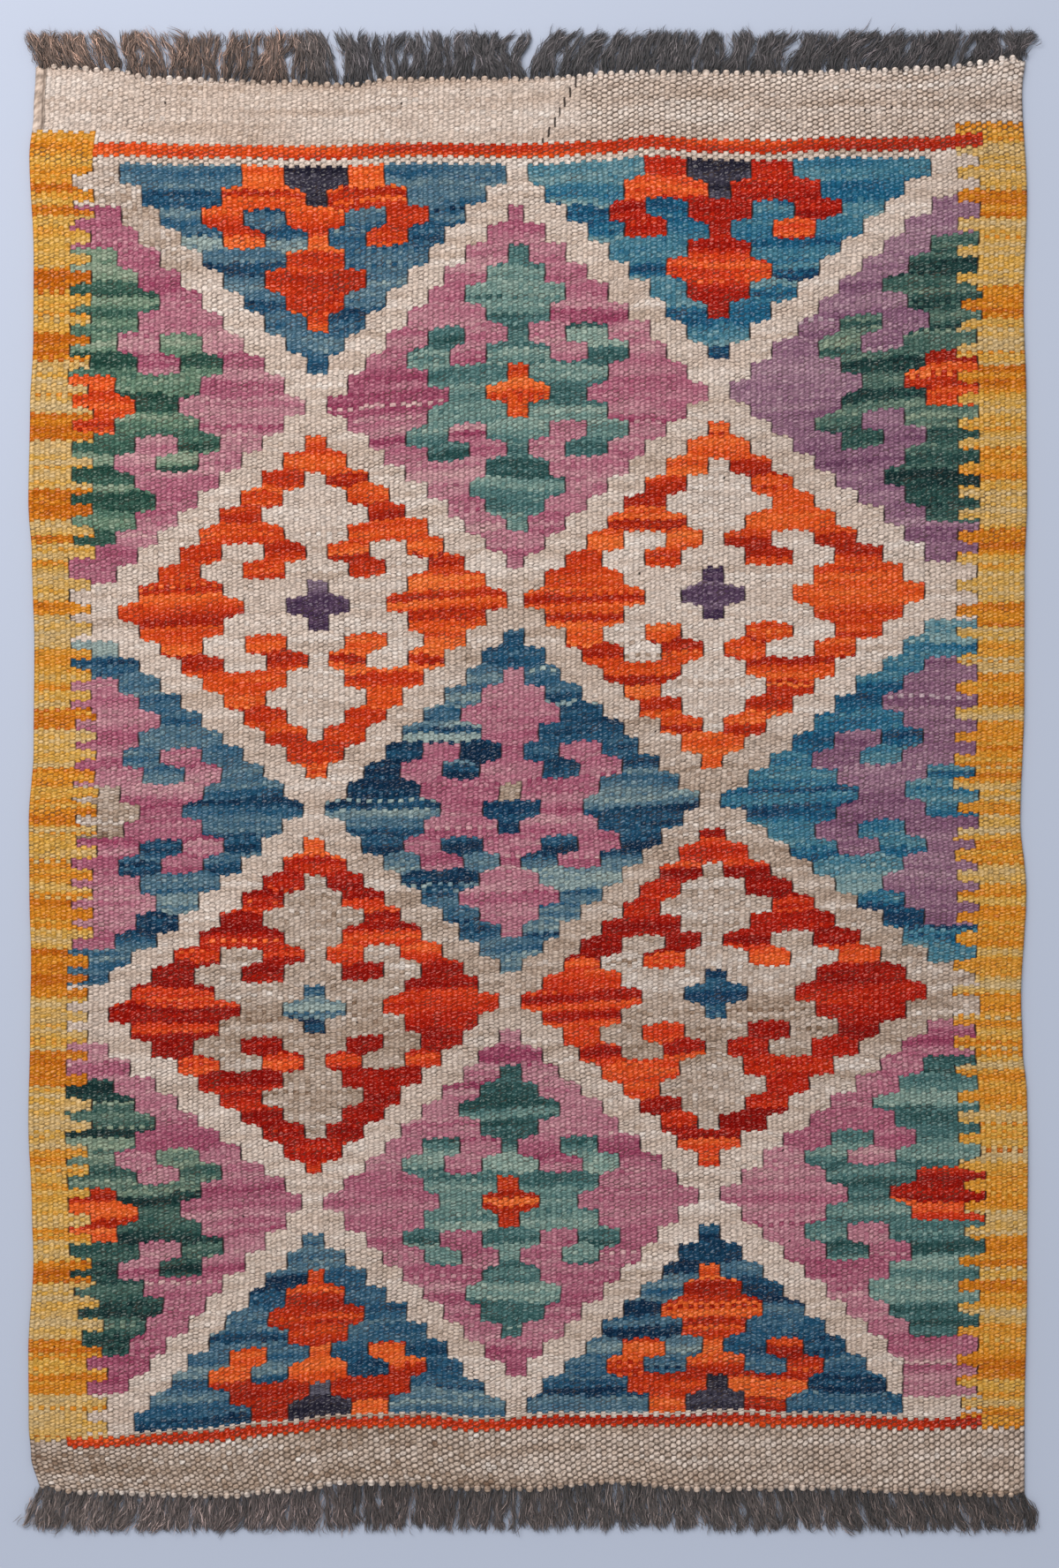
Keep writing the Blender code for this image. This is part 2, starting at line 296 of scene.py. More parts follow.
def lay_y(warp, weft):
    """Y of places given in warps and wefts."""
    x = (warp / WARPS - 0.5) * RUG_WIDTH / MM
    near_end = -CLOTH_LENGTH / 2 - eased(NEAR_END, x) * MM
    far_end = CLOTH_LENGTH / 2 + eased(FAR_END, x) * MM
    near_line = NEAR_LINE_Y + eased(NEAR_LINE, x) * MM
    far_line = FAR_LINE_Y + eased(FAR_LINE, x) * MM
    lines = [near_end, near_line - NEAR_LINE_HALF, near_line + NEAR_LINE_HALF]
    lines.append(near_line + NEAR_LINE_HALF + NEAR_CREAM_GAP)
    marks = [0, NEAR_BAND_TOP, NEAR_LINE_TOP, FIELD_NEAR]
    for row in WEFT_LINES:
        lines.append(eased(tuple(zip(COLUMN_MARKS, row[1:])), warp) * MM)
        marks.append(FIELD_FAR - (row[0] + 0.5) * PASSES_PER_ROW)
    lines.append(far_line - FAR_LINE_HALF - FAR_CREAM_GAP)
    lines += [far_line - FAR_LINE_HALF, far_line + FAR_LINE_HALF, far_end]
    marks += [FIELD_FAR, FAR_LINE_FOOT, FAR_LINE_TOP, PASSES]
    return between_lines(marks, lines, weft)


def lay_x(warp, y):
    """X of warps, spread evenly between the selvedges at their own Y."""
    return left_edge(y) + (right_edge(y) - left_edge(y)) * warp / WARPS


def pattern_count(row, x):
    """Places across the pattern in warps, and how many warps they lie in from each gold."""
    lines = [eased(PATTERN_LINES, row, column) * MM for column in range(1, 8)]
    spacing = RUG_WIDTH / WARPS
    count = between_lines(lines[1:6], COLUMN_MARKS, x)
    return count, (x - lines[0]) / spacing, (lines[6] - x) / spacing


# ---- Dyed wool -------------------------------------------------------------------------
# Hand-spun wool takes the dye unevenly, so each colour runs from a dark to a pale shade
# and changes every few passes. Each patch of colour is woven with a length of its own.
WOOL = {                      # how uneven it is bead by bead, and four shades out of 255
    "cream": (0.12, (160, 136, 118), (184, 161, 145), (198, 178, 164), (212, 197, 186)),
    "oatmeal": (0.22, (120, 93, 74), (155, 131, 113), (179, 158, 143), (201, 186, 175)),
    "orange": (0.05, (146, 24, 6), (182, 46, 12), (208, 76, 24), (222, 106, 46)),
    "rust": (0.05, (130, 10, 4), (166, 26, 8), (198, 54, 18), (220, 92, 38)),
    "blue": (0.10, (10, 38, 62), (32, 76, 102), (80, 106, 118), (136, 148, 142)),
    "lake": (0.10, (16, 50, 78), (26, 88, 116), (66, 112, 126), (120, 142, 140)),
    "teal": (0.10, (34, 66, 64), (66, 100, 98), (100, 126, 118), (138, 152, 138)),
    "moss": (0.12, (30, 62, 52), (60, 92, 78), (96, 120, 98), (140, 148, 126)),
    "spruce": (0.12, (18, 42, 42), (42, 74, 68), (78, 102, 90), (126, 138, 116)),
    "mauve": (0.09, (136, 54, 80), (158, 88, 106), (172, 118, 126), (188, 148, 144)),
    "heather": (0.09, (100, 58, 84), (128, 88, 108), (148, 112, 124), (166, 142, 146)),
    "charcoal": (0.10, (28, 26, 40), (50, 46, 58), (72, 68, 80), (98, 94, 104)),
    "purple": (0.10, (52, 34, 60), (78, 56, 78), (102, 80, 98), (128, 108, 120)),
    "navy": (0.10, (6, 32, 58), (16, 54, 82), (38, 80, 104), (80, 110, 124)),
    "gold": (0.08, (176, 86, 10), (200, 122, 28), (196, 146, 62), (186, 156, 110)),
}
WOOLS = list(WOOL)


def linear(colour):
    """Display colours of 255 as the linear values that a shader takes."""
    share = np.asarray(colour, float) / 255
    return np.where(share <= 0.04045, share / 12.92, ((share + 0.055) / 1.055) ** 2.4)


SHADES = np.array([linear(WOOL[name][1:]) for name in WOOLS])
UNEVEN = np.array([WOOL[name][0] for name in WOOLS])


def shade_of(wool, shade):
    """Colours of wools, by number, at shades from 0, dark, to 1, pale."""
    steps = SHADES.shape[1] - 1
    place = np.clip(shade, 0, 1) * steps
    low = np.minimum(place.astype(int), steps - 1)
    share = (place - low)[..., None]
    return SHADES[wool, low] * (1 - share) + SHADES[wool, low + 1] * share


# ---- Diamonds --------------------------------------------------------------------------
# The field: stepped diamonds with hooked crosses in a cream lattice, in slit tapestry. A
# quarter of one is charted by cells outward from its middle: ground, motif and x, cross.
QUARTER = (
    "xxMMGGGGGG",
    "xMMMMGGGG.",
    "MMGGMMGG..",
    "MGGMMGG...",
    "MMGGGG....",
    "MMMGG.....",
    "MMGG......",
    "MGG.......",
    "GG........",
    "G.........",
)
DIAMONDS = (                  # row and column of its middle; ground, motif and cross
    (0, 10, "blue", "orange", "charcoal"),
    (0, 30, "lake", "rust", "charcoal"),
    (11, 0, "mauve", "moss", "orange"),
    (11, 20, "mauve", "teal", "orange"),
    (11, 40, "heather", "spruce", "orange"),
    (22, 10, "orange", "cream", "purple"),
    (22, 30, "orange", "cream", "purple"),
    (33, 0, "blue", "mauve", "oatmeal"),
    (33, 20, "blue", "mauve", "navy"),
    (33, 40, "lake", "heather", "lake"),
    (44, 10, "rust", "oatmeal", "blue"),
    (44, 30, "rust", "oatmeal", "navy"),
    (55, 0, "mauve", "spruce", "orange"),
    (55, 20, "mauve", "teal", "orange"),
    (55, 40, "mauve", "teal", "rust"),
    (66, 10, "blue", "orange", "charcoal"),
    (66, 30, "blue", "orange", "charcoal"),
)
# Streaks in the wool of each diamond, read off the photograph: G is its ground, M its
# motif and x its cross, L and R a side where they differ. Each pair is a height where a new
# streak begins, in pixels down the photograph, and its shade from 0, dark, to 100, pale.
STREAKS = {
    (0, 10): {
        "GL": (
            "185 50  215 25  236 60  247 40  268 85  286 60  297 12  311 50  345 20  356 45  "
            "380 55  397 40"
        ),
        "GR": "185 40  205 55  250 33  285 60  335 50  345 18  358 35  372 50  397 40",
        "ML": "185 85  214 30  222 72  240 50  247 30  266 80  290 40  312 18  355 60",
        "MR": "185 80  213 18  240 35  266 45  290 40  312 18  355 60",
        "x": "190 10  199 45  213 25  225 15",
    },
    (0, 30): {
        "GL": (
            "180 70  203 60  225 18  246 38  262 52  278 60  302 25  319 68  345 25  366 60  "
            "380 88  391 8"
        ),
        "GR": (
            "180 60  201 35  226 62  247 50  263 30  279 50  300 8  311 75  322 35  366 60  "
            "380 88  391 8"
        ),
        "ML": "180 35  201 82  225 20  247 25  290 68  317 30  330 18",
        "MR": "180 35  205 28  225 24  246 78  268 25  290 68  317 30  330 18",
        "x": "184 12  198 30  206 15  215 50",
    },
    (11, 0): {
        "G": (
            "240 25  263 40  290 35  315 12  335 50  380 60  400 22  416 50  436 28  451 55  "
            "480 20  487 60  520 55  541 35  580 55  603 70  617 35"
        ),
        "M": (
            "300 75  320 8  336 75  348 35  361 60  379 72  400 10  415 50  426 65  448 10  "
            "470 60  479 50  490 20  511 75  530 8  549 60  558 12  573 60  600 12"
        ),
        "x": "430 70  445 60  475 20  485 60",
    },
    (11, 20): {
        "GL": (
            "240 30  263 55  315 40  350 55  400 30  420 25  445 10  456 25  470 50  482 60  "
            "491 14  501 45  530 65  550 50  575 60  620 40"
        ),
        "GR": (
            "240 50  300 35  331 55  345 20  361 60  385 50  402 35  440 42  482 50  530 60  "
            "551 45  600 55"
        ),
        "ML": (
            "280 30  300 70  350 30  373 50  384 30  395 75  402 52  413 75  421 35  440 55  "
            "471 65  491 50  501 30  520 12  541 70  553 45  562 28  576 65"
        ),
        "MR": (
            "280 30  300 70  350 30  369 98  397 8  412 65  428 35  446 12  460 75  481 50  "
            "496 25  520 12  541 70  553 45  562 28  576 65"
        ),
        "x": "413 45  432 85  441 60  446 25  453 60",
    },
    (11, 40): {
        "G": (
            "220 40  251 50  300 52  322 35  340 70  351 30  371 45  402 55  425 45  460 35  "
            "500 28  532 36  562 40  590 58  602 25"
        ),
        "M": (
            "262 50  281 40  296 18  311 60  331 20  351 62  367 28  376 80  397 50  411 15  "
            "426 50  446 18  461 75  476 55  485 30  505 50  512 28  531 12  551 20  571 40"
        ),
        "x": "390 8  414 75  424 12  440 60",
    },
    (22, 10): {
        "GL": (
            "490 60  516 75  536 35  551 55  576 25  596 55  616 25  636 50  656 30  675 65  "
            "686 35  697 10  706 55  731 78  741 25  761 60  781 75  802 30  821 55  836 28  "
            "861 65"
        ),
        "GR": (
            "490 60  516 75  530 5  546 60  566 10  586 60  612 75  626 5  641 30  656 80  670 20  "
            "681 75  691 10  701 55  721 75  741 10  751 75  761 15  776 60  801 35  850 30  "
            "861 65"
        ),
        "M": "490 60  620 50  700 65",
        "x": "655 75  673 45  682 25  700 12",
    },
    (22, 30): {
        "GL": (
            "475 70  520 75  541 35  556 8  576 70  590 8  601 75  626 38  651 60  672 5  681 70  "
            "696 8  706 75  728 8  743 60  761 8  771 80  791 20  806 60  826 8  833 75"
        ),
        "GR": (
            "475 70  515 10  536 60  576 70  596 50  605 8  633 50  651 65  666 75  677 60  "
            "691 40  706 50  726 60  742 8  751 60  766 20  801 70  816 12  831 72"
        ),
        "M": "480 65  620 55  700 70",
        "x": "645 20  658 60  663 30  680 50  690 12",
    },
    (33, 0): {
        "G": (
            "730 98  748 35  766 55  801 45  826 60  846 45  866 60  896 40  905 10  913 30  "
            "926 55  946 28  955 8  965 50  976 25  991 55  1013 75  1035 5  1053 35  1076 60  "
            "1091 48"
        ),
        "M": (
            "760 50  821 15  841 50  861 20  871 60  901 20  926 35  946 14  952 58  966 35  "
            "991 60  1046 35"
        ),
        "x": "890 50  915 40",
    },
    (33, 20): {
        "GL": (
            "715 32  751 45  766 60  781 70  801 40  816 70  825 8  831 98  843 5  890 15  905 8  "
            "918 70  926 45  936 25  951 8  966 68  986 8  1006 20  1016 50  1041 35  1056 45  "
            "1076 75"
        ),
        "GR": (
            "715 32  751 42  766 50  781 22  821 30  851 20  875 55  896 70  913 8  936 25  951 8  "
            "966 50  976 85  1001 50  1021 68  1051 25  1066 80"
        ),
        "M": (
            "755 55  801 45  821 40  861 50  891 35  906 25  921 50  936 22  951 50  966 18  "
            "981 60  1009 20  1021 55"
        ),
        "x": "885 40  908 30  917 45  930 25",
    },
    (33, 40): {
        "G": (
            "705 90  729 50  746 60  771 20  811 50  826 25  851 55  871 60  886 30  896 50  "
            "911 30  926 50  946 65  961 35  976 75  991 95  1011 50  1026 8  1051 50  1066 75"
        ),
        "M": (
            "745 40  790 20  801 45  831 30  871 45  901 25  921 30  946 40  971 45  1001 35  "
            "1021 25"
        ),
        "x": "862 70  875 30  886 65  912 45  918 30",
    },
    (44, 10): {
        "GL": (
            "950 85  971 35  989 25  1005 5  1016 35  1036 8  1056 35  1076 60  1086 8  1118 70  "
            "1140 8  1155 65  1166 12  1178 8  1201 75  1216 12  1231 30  1261 8  1276 5  1296 30  "
            "1311 45"
        ),
        "GR": (
            "950 85  971 35  989 8  1016 70  1031 20  1051 75  1076 60  1091 14  1126 50  1146 35  "
            "1160 8  1191 65  1206 15  1226 8  1246 15  1266 8  1296 30  1311 45"
        ),
        "M": "980 50  1070 60  1130 40  1200 50",
        "x": "1110 55  1128 95  1143 50  1150 8",
    },
    (44, 30): {
        "GL": (
            "935 15  951 65  985 5  996 30  1016 35  1041 10  1081 75  1106 60  1120 35  1130 70  "
            "1140 30  1151 70  1181 20  1196 75  1241 12  1261 60  1276 8  1291 80"
        ),
        "GR": (
            "935 15  951 65  980 8  1016 50  1036 30  1051 8  1071 80  1091 10  1111 20  1126 35  "
            "1141 20  1155 5  1176 35  1216 20  1236 30  1256 8  1276 20  1291 80"
        ),
        "M": "960 60  1070 70  1130 45  1200 60",
        "x": "1097 25  1105 55  1125 40  1135 60",
    },
    (55, 0): {
        "G": (
            "1185 65  1210 30  1221 50  1246 45  1266 30  1290 20  1301 55  1346 15  1361 35  "
            "1376 50  1396 25  1401 55  1431 25  1451 45  1471 35  1501 30  1521 20"
        ),
        "M": (
            "1225 8  1250 30  1258 50  1275 5  1286 92  1301 78  1321 45  1336 80  1350 12  "
            "1366 35  1391 12  1406 45  1426 12  1441 20  1456 50  1466 35  1476 8  1491 60  "
            "1501 45  1511 18"
        ),
        "x": "1348 20  1357 35  1365 70  1382 25  1392 75",
    },
    (55, 20): {
        "GL": (
            "1165 55  1186 12  1201 55  1226 12  1236 60  1271 40  1286 55  1331 35  1346 45  "
            "1401 25  1416 55  1431 30  1451 60  1466 25  1481 55  1526 20"
        ),
        "GR": (
            "1165 55  1186 12  1201 60  1251 50  1281 30  1301 20  1316 45  1386 40  1426 45  "
            "1451 30  1476 55  1526 20"
        ),
        "M": (
            "1205 20  1229 8  1246 2  1256 60  1266 8  1291 50  1301 85  1326 28  1341 60  "
            "1381 80  1391 30  1401 8  1406 70  1426 25  1436 45  1451 80  1471 35  1491 28"
        ),
        "x": "1330 45  1345 20  1355 80  1362 20",
    },
    (55, 40): {
        "G": (
            "1145 50  1166 25  1186 40  1261 25  1281 30  1301 60  1331 50  1361 60  1401 45  "
            "1421 18  1446 35  1461 60  1501 35  1521 40  1551 60"
        ),
        "M": (
            "1190 12  1216 45  1231 80  1251 18  1271 30  1291 65  1311 35  1321 50  1336 20  "
            "1351 35  1366 70  1376 45  1391 60  1401 15  1421 70  1441 40  1451 70  1476 12  "
            "1501 20  1521 70"
        ),
        "x": "1318 40  1328 12  1357 75  1372 60",
    },
    (66, 10): {
        "GL": (
            "1400 50  1426 55  1450 8  1471 30  1496 60  1511 8  1523 50  1546 70  1561 35  "
            "1576 70  1591 45  1606 8"
        ),
        "GR": "1400 50  1426 55  1450 40  1471 35  1496 50  1521 28  1546 35  1571 70  1591 40",
        "ML": "1445 60  1466 14  1486 50  1496 25  1521 75  1549 70  1566 10  1590 12",
        "MR": "1445 60  1466 14  1486 50  1496 25  1521 82  1546 20  1571 20  1581 80",
        "x": "1570 80  1585 30  1592 15",
    },
    (66, 30): {
        "GL": (
            "1385 30  1401 5  1446 60  1471 5  1486 50  1500 4  1513 70  1531 45  1561 30  1570 4  "
            "1581 60"
        ),
        "GR": (
            "1385 30  1401 8  1421 50  1446 8  1471 60  1491 35  1511 30  1531 42  1560 5  "
            "1576 45"
        ),
        "ML": "1425 70  1450 10  1471 75  1491 15  1501 50  1516 78  1540 25  1556 35  1581 75",
        "MR": "1425 70  1450 10  1471 75  1491 15  1501 50  1516 5  1536 14  1560 75  1581 12",
        "x": "1560 20  1575 40  1590 30",
    },
}
FIELD_COLUMNS = CELLS - 2 * BORDER_CELLS
DIAMOND_REACH = len(QUARTER) - 1      # cells from a diamond's middle to its tips
UNDYED_CELL = (32, 20)        # row and column of a cell of the middle cross
LONG_TIP = (64, 40)           # the near right diamond goes on for a row past this tip
LATTICE_PATCH, LEFT_GOLD, RIGHT_GOLD, FIRST_PATCH = range(4)

cell_wool = np.full((ROWS, FIELD_COLUMNS), WOOLS.index("cream"))
cell_patch = np.full((ROWS, FIELD_COLUMNS), LATTICE_PATCH)
patches = {}
for middle_row, middle_column, *colours in DIAMONDS:
    for down in range(-DIAMOND_REACH, DIAMOND_REACH + 1):
        chart = QUARTER[abs(down)]
        for out in range(-DIAMOND_REACH, DIAMOND_REACH + 1):
            row = middle_row + down
            column = middle_column + out
            part = chart[abs(out)]
            if part == "." or not (0 <= row < ROWS and 0 <= column < FIELD_COLUMNS):
                continue
            further = chart[abs(out):].lstrip(part)
            side = 0 if chart.startswith(part * (abs(out) + 1)) else np.sign(out)
            patch = (middle_row, middle_column, part, side, part in further)
            cell_wool[row, column] = WOOLS.index(colours["GMx".index(part)])
            cell_patch[row, column] = patches.setdefault(patch, len(patches) + FIRST_PATCH)
past_tip = (LONG_TIP[0] + 1, LONG_TIP[1])
cell_wool[past_tip] = cell_wool[LONG_TIP]
cell_patch[past_tip] = cell_patch[LONG_TIP]
cell_wool[UNDYED_CELL] = WOOLS.index("oatmeal")


# ---- Side borders, orange lines and end bands ------------------------------------------
# Gold borders with a toothed inner edge, a few orange passes that close each end of the
# field, and plain cream bands beyond them. All are woven into the one cloth.
PHOTO_PIXEL = 0.53 * MM       # heights below are counted down the photograph, in its pixels
PHOTO_MIDDLE = 885
PHOTO_CENTRE = 598.5
LEFT_TEETH = (                # the middle of each gold tooth
    165, 193, 222, 245, 270, 296, 317, 341, 362, 386, 413, 443, 468, 496, 525, 554, 578, 602,
    627, 663, 690, 714, 742, 764, 789, 810, 833, 855, 879, 898, 918, 940, 965, 990, 1012, 1034,
    1054, 1088, 1108, 1128, 1150, 1173, 1195, 1222, 1252, 1275, 1303, 1325, 1350, 1380, 1403,
    1430, 1452, 1474, 1500, 1530, 1556, 1590, 1615,
)
RIGHT_TEETH = (
    150, 170, 197, 222, 254, 285, 315, 345, 371, 397, 427, 452, 480, 505, 532, 557, 582, 608,
    633, 663, 691, 718, 747, 780, 807, 834, 861, 888, 915, 945, 970, 992, 1015, 1040, 1063,
    1094, 1122, 1155, 1182, 1212, 1242, 1265, 1290, 1318, 1343, 1366, 1395, 1427, 1455, 1480,
    1508, 1538, 1563, 1590, 1607,
)
TOOTH_BASE, TOOTH_TIP = 7.0, 5.6      # half of a tooth's height at its foot and its tip
LEFT_STREAKS = (              # as for the diamonds
    "140 30  175 45  210 10  219 50  233 10  245 65  305 10  330 65  378 10  407 90  468 10  "
    "500 80  555 10  588 80  605 20  617 80  635 40  645 80  680 30  698 80  735 40  760 60  "
    "777 30  783 80  803 10  826 80  870 40  890 50  915 20  935 80  975 40  1000 80  1012 30  "
    "1050 80  1075 20  1130 80  1190 10  1230 80  1300 40  1315 60  1375 90  1390 40  1405 80  "
    "1427 10  1453 80  1515 20  1540 60  1555 30  1580 80"
)
RIGHT_STREAKS = (
    "140 40  160 80  215 20  248 80  325 20  362 80  415 20  445 70  480 50  490 80  510 40  "
    "545 80  600 20  628 80  640 50  648 80  682 20  710 80  725 50  745 90  765 30  800 80  "
    "815 40  890 80  905 40  925 80  945 40  980 80  1000 30  1015 70  1025 40  1075 80  "
    "1085 50  1105 90  1125 40  1165 80  1180 30  1195 80  1210 40  1260 80  1280 50  1300 90  "
    "1315 40  1370 90  1398 30  1435 80  1448 30  1462 50  1480 80  1498 40  1530 20  1560 60  "
    "1585 80  1594 30"
)
GOLD_WARPS = (4, -4)          # warps in the middle of the left and the right gold
CORD_WARPS = 2                # under the smooth cord at the far band's left side
GOLD_FAR = (709, 709)         # the last gold pass, left and right
GOLD_NEAR = (23, 20)          # the first
FAR_LINE_WARPS = (12, 180)    # where the orange lines begin and end
NEAR_LINE_WARPS = (7, 180)
LINE_SHADES = (               # X in mm, then the shade of the far and the near line
    (-270, 0.62, 0.30), (-100, 0.55, 0.38), (-40, 0.38, 0.25), (130, 0.32, 0.22), (270, 0.18, 0.10),
)
# Where undyed, browner wool takes the place of the cream.
OATMEAL_PLACES = (            # X, Y, half width and half height in mm, then strength
    (-225, 345, 42, 46, 0.9),
    (70, -60, 175, 105, 0.62),
    (235, -80, 60, 110, 0.85),
    (215, -170, 60, 50, 0.7),
    (-25, 60, 130, 50, 0.35),
    (120, 190, 60, 40, 0.2),
)
OATMEAL_FADE = (2.2, 1.6)     # of its strength: at a middle, and lost by each half width out
NEAR_BAND_OATMEAL = ((-300, 1.0), (-30, 0.95), (10, 0.45), (300, 0.5))
FAR_BAND_OATMEAL = 0.1
ARM_MIDDLE = 5                # cells from a diamond's middle to the middle of its left or right
PAIR_UNEVENNESS = 0.06        # how the shade strays from each two passes to the next two
ODD_PASSES = 0.03             # the share of passes with any shade at all
STREAK_DRIFT = 4              # passes by which the streaks stray up and down
GOLD_DRIFT = 0.3              # of that in the gold
CREAM_SHADE, CREAM_CLOUDING = 0.25, 0.5
CORD_SHADE, CORD_CLOUDING = 0.15, 0.35
LINE_CLOUDING = 0.4
YARN_CLOUDING = 0.44
BEAD_UNEVENNESS = 0.5         # of what each wool is given above
OATMEAL_UNEVENNESS = 0.11
BEAD_LIGHTNESS = 0.04

warp_of, pass_of = np.meshgrid(np.arange(WARPS), np.arange(PASSES + 1))
row_of = (FIELD_FAR - pass_of) // PASSES_PER_ROW
in_field = (row_of >= 0) & (row_of < ROWS)
charted_row = np.clip(row_of, 0, ROWS - 1)
row_middle = lay_y(warp_of + 0.5, FIELD_FAR - (charted_row + 0.5) * PASSES_PER_ROW)
counted, from_left, from_right = pattern_count(charted_row, lay_x(warp_of + 0.5, row_middle))
column_of = np.floor(counted / WARPS_PER_CELL).astype(int) - BORDER_CELLS
charted_column = np.clip(column_of, 0, FIELD_COLUMNS - 1)
bead_wool = np.where(in_field, cell_wool[charted_row, charted_column], WOOLS.index("cream"))
bead_patch = np.where(in_field, cell_patch[charted_row, charted_column], LATTICE_PATCH)
bead_y = lay_y(warp_of + 0.5, pass_of.astype(float))
bead_x = lay_x(warp_of + 0.5, bead_y)


def streaks(table, heights):
    """The shade of the streak at these heights down the photograph."""
    numbers = np.array(table.split(), float)
    place = np.searchsorted(numbers[::2], heights, side="right") - 1
    return numbers[1::2][np.maximum(place, 0)] / 100


photo_height = PHOTO_MIDDLE - bead_y / PHOTO_PIXEL
for side, (patch, teeth) in enumerate(((LEFT_GOLD, LEFT_TEETH), (RIGHT_GOLD, RIGHT_TEETH))):
    inner = from_left if side == 0 else from_right
    along = (pass_of >= GOLD_NEAR[side]) & (pass_of <= GOLD_FAR[side])
    out = np.clip(inner / WARPS_PER_CELL, 0, 1)
    to_tooth = np.abs(photo_height[..., None] - np.array(teeth)).min(-1)
    tooth = (to_tooth < TOOTH_BASE + (TOOTH_TIP - TOOTH_BASE) * out) | ~in_field
    gold = along & ((inner < 0) | ((inner < WARPS_PER_CELL) & tooth))
    bead_wool[gold] = WOOLS.index("gold")
    bead_patch[gold] = patch

ORANGE_LINES = (
    (FAR_LINE_FOOT, FAR_LINE_TOP, FAR_LINE_WARPS),
    (NEAR_BAND_TOP, NEAR_LINE_TOP, NEAR_LINE_WARPS),
)
LINE_PATCH = len(patches) + FIRST_PATCH
in_line = np.zeros(bead_wool.shape, bool)
for foot, top, warps in ORANGE_LINES:
    in_line |= (pass_of >= foot) & (pass_of < top) & (warp_of >= warps[0]) & (warp_of < warps[1])
bead_wool[in_line] = WOOLS.index("orange")
bead_patch[in_line] = LINE_PATCH

oatmeal = np.zeros(bead_wool.shape)
for x, y, half_width, half_height, strength in OATMEAL_PLACES:
    far_off = np.hypot((bead_x / MM - x) / half_width, (bead_y / MM - y) / half_height)
    fading = np.clip(OATMEAL_FADE[0] - OATMEAL_FADE[1] * far_off, 0, 1)
    oatmeal = np.maximum(oatmeal, strength * fading)
oatmeal = np.where(in_field, oatmeal, FAR_BAND_OATMEAL)
oatmeal = np.where(pass_of < FIELD_NEAR, eased(NEAR_BAND_OATMEAL, bead_x / MM), oatmeal)

# The streaks of each patch, pass by pass, then the shades of the single beads.
rng = np.random.default_rng(5)
changes = np.zeros((LINE_PATCH + 1, PASSES + 1))
changes[LEFT_GOLD] = streaks(LEFT_STREAKS, photo_height[:, GOLD_WARPS[0]])
changes[RIGHT_GOLD] = streaks(RIGHT_STREAKS, photo_height[:, GOLD_WARPS[1]])
for (middle_row, middle_column, part, side, _), patch in patches.items():
    tables = STREAKS[middle_row, middle_column]
    table = tables.get(part) or tables[part + ("R" if side > 0 else "L")]
    column = BORDER_CELLS + np.clip(middle_column + ARM_MIDDLE * side, 1, FIELD_COLUMNS - 2)
    changes[patch] = streaks(table, photo_height[:, column * WARPS_PER_CELL])
pairs = rng.normal(0, PAIR_UNEVENNESS, (LINE_PATCH + 1, PASSES // 2 + 1))
changes += np.repeat(pairs, 2, axis=1)[:, :PASSES + 1]
odd = rng.random(changes.shape) < ODD_PASSES
changes = np.where(odd, rng.random(changes.shape), changes)
drift = (smooth_noise(6, warp_of, pass_of, 16, 9) - 0.5) * STREAK_DRIFT
drift = np.where(bead_wool == WOOLS.index("gold"), drift * GOLD_DRIFT, drift * in_field)
drifted = np.clip(np.round(pass_of + drift).astype(int), 0, PASSES)
bead_shade = changes[bead_patch, drifted]
is_cream = bead_wool == WOOLS.index("cream")
cloudy_shade = smooth_noise(7, warp_of, pass_of, 30, 3) * CREAM_CLOUDING + CREAM_SHADE
bead_shade = np.where(is_cream & (bead_patch == LATTICE_PATCH), cloudy_shade, bead_shade)
line_shade = np.where(
    pass_of > FIELD_FAR, eased(LINE_SHADES, bead_x / MM, 1), eased(LINE_SHADES, bead_x / MM, 2)
)
line_shade = line_shade + LINE_CLOUDING * (smooth_noise(15, warp_of, pass_of, 22, 4) - 0.5)
bead_shade = np.where(in_line, line_shade, bead_shade)
bead_shade = bead_shade + (smooth_noise(8, warp_of, pass_of, 14, 1.7) - 0.5) * YARN_CLOUDING
bead_shade = bead_shade + rng.normal(0, BEAD_UNEVENNESS, bead_shade.shape) * UNEVEN[bead_wool]
bead_colour = shade_of(bead_wool, bead_shade)
oatmeal_shade = bead_shade + rng.normal(0, OATMEAL_UNEVENNESS, bead_shade.shape)
oatmeal_colour = shade_of(WOOLS.index("oatmeal"), oatmeal_shade)
oatmeal_share = (oatmeal * is_cream)[..., None]
bead_colour = bead_colour + (oatmeal_colour - bead_colour) * oatmeal_share
bead_colour = bead_colour * (1 + rng.normal(0, BEAD_LIGHTNESS, bead_shade.shape))[..., None]
in_cord = (warp_of < CORD_WARPS) & (pass_of > GOLD_FAR[0])
cord_shade = CORD_SHADE + CORD_CLOUDING * smooth_noise(19, warp_of, pass_of, 2, 9)
bead_colour = np.where(in_cord[..., None], shade_of(bead_wool, cord_shade), bead_colour)


# ---- Woven cloth -----------------------------------------------------------------------
# One piece of cloth, 3 mm thick, made here as four stretches that meet between two
# passes. Each pass stands over every second warp as a bead, and dips between the warps.
CLOTH_THICKNESS = 3 * MM
STRETCH_ENDS = (0, 186, 366, 552, PASSES)
UNDERSIDE_STEP = 6            # passes from one line of points to the next underneath
RIB_RISE, RIB_DIP = 0.10 * MM, -0.18 * MM
BEAD_RISE, BEAD_DIP = 0.10 * MM, -0.09 * MM
SLIT_DIP = -0.7 * MM
UNEVEN_BEADS = 0.7 * MM       # how far single beads stray from the even grid
END_BEAD = 1.5 * MM           # how far every second bead stands out at an end
END_LIP = (-1.2 * MM, -0.15 * MM)     # the last two lines of points at an end
END_SCALLOP = (1.0, -0.2, 0.3)        # of that, at such a bead, at the others and between
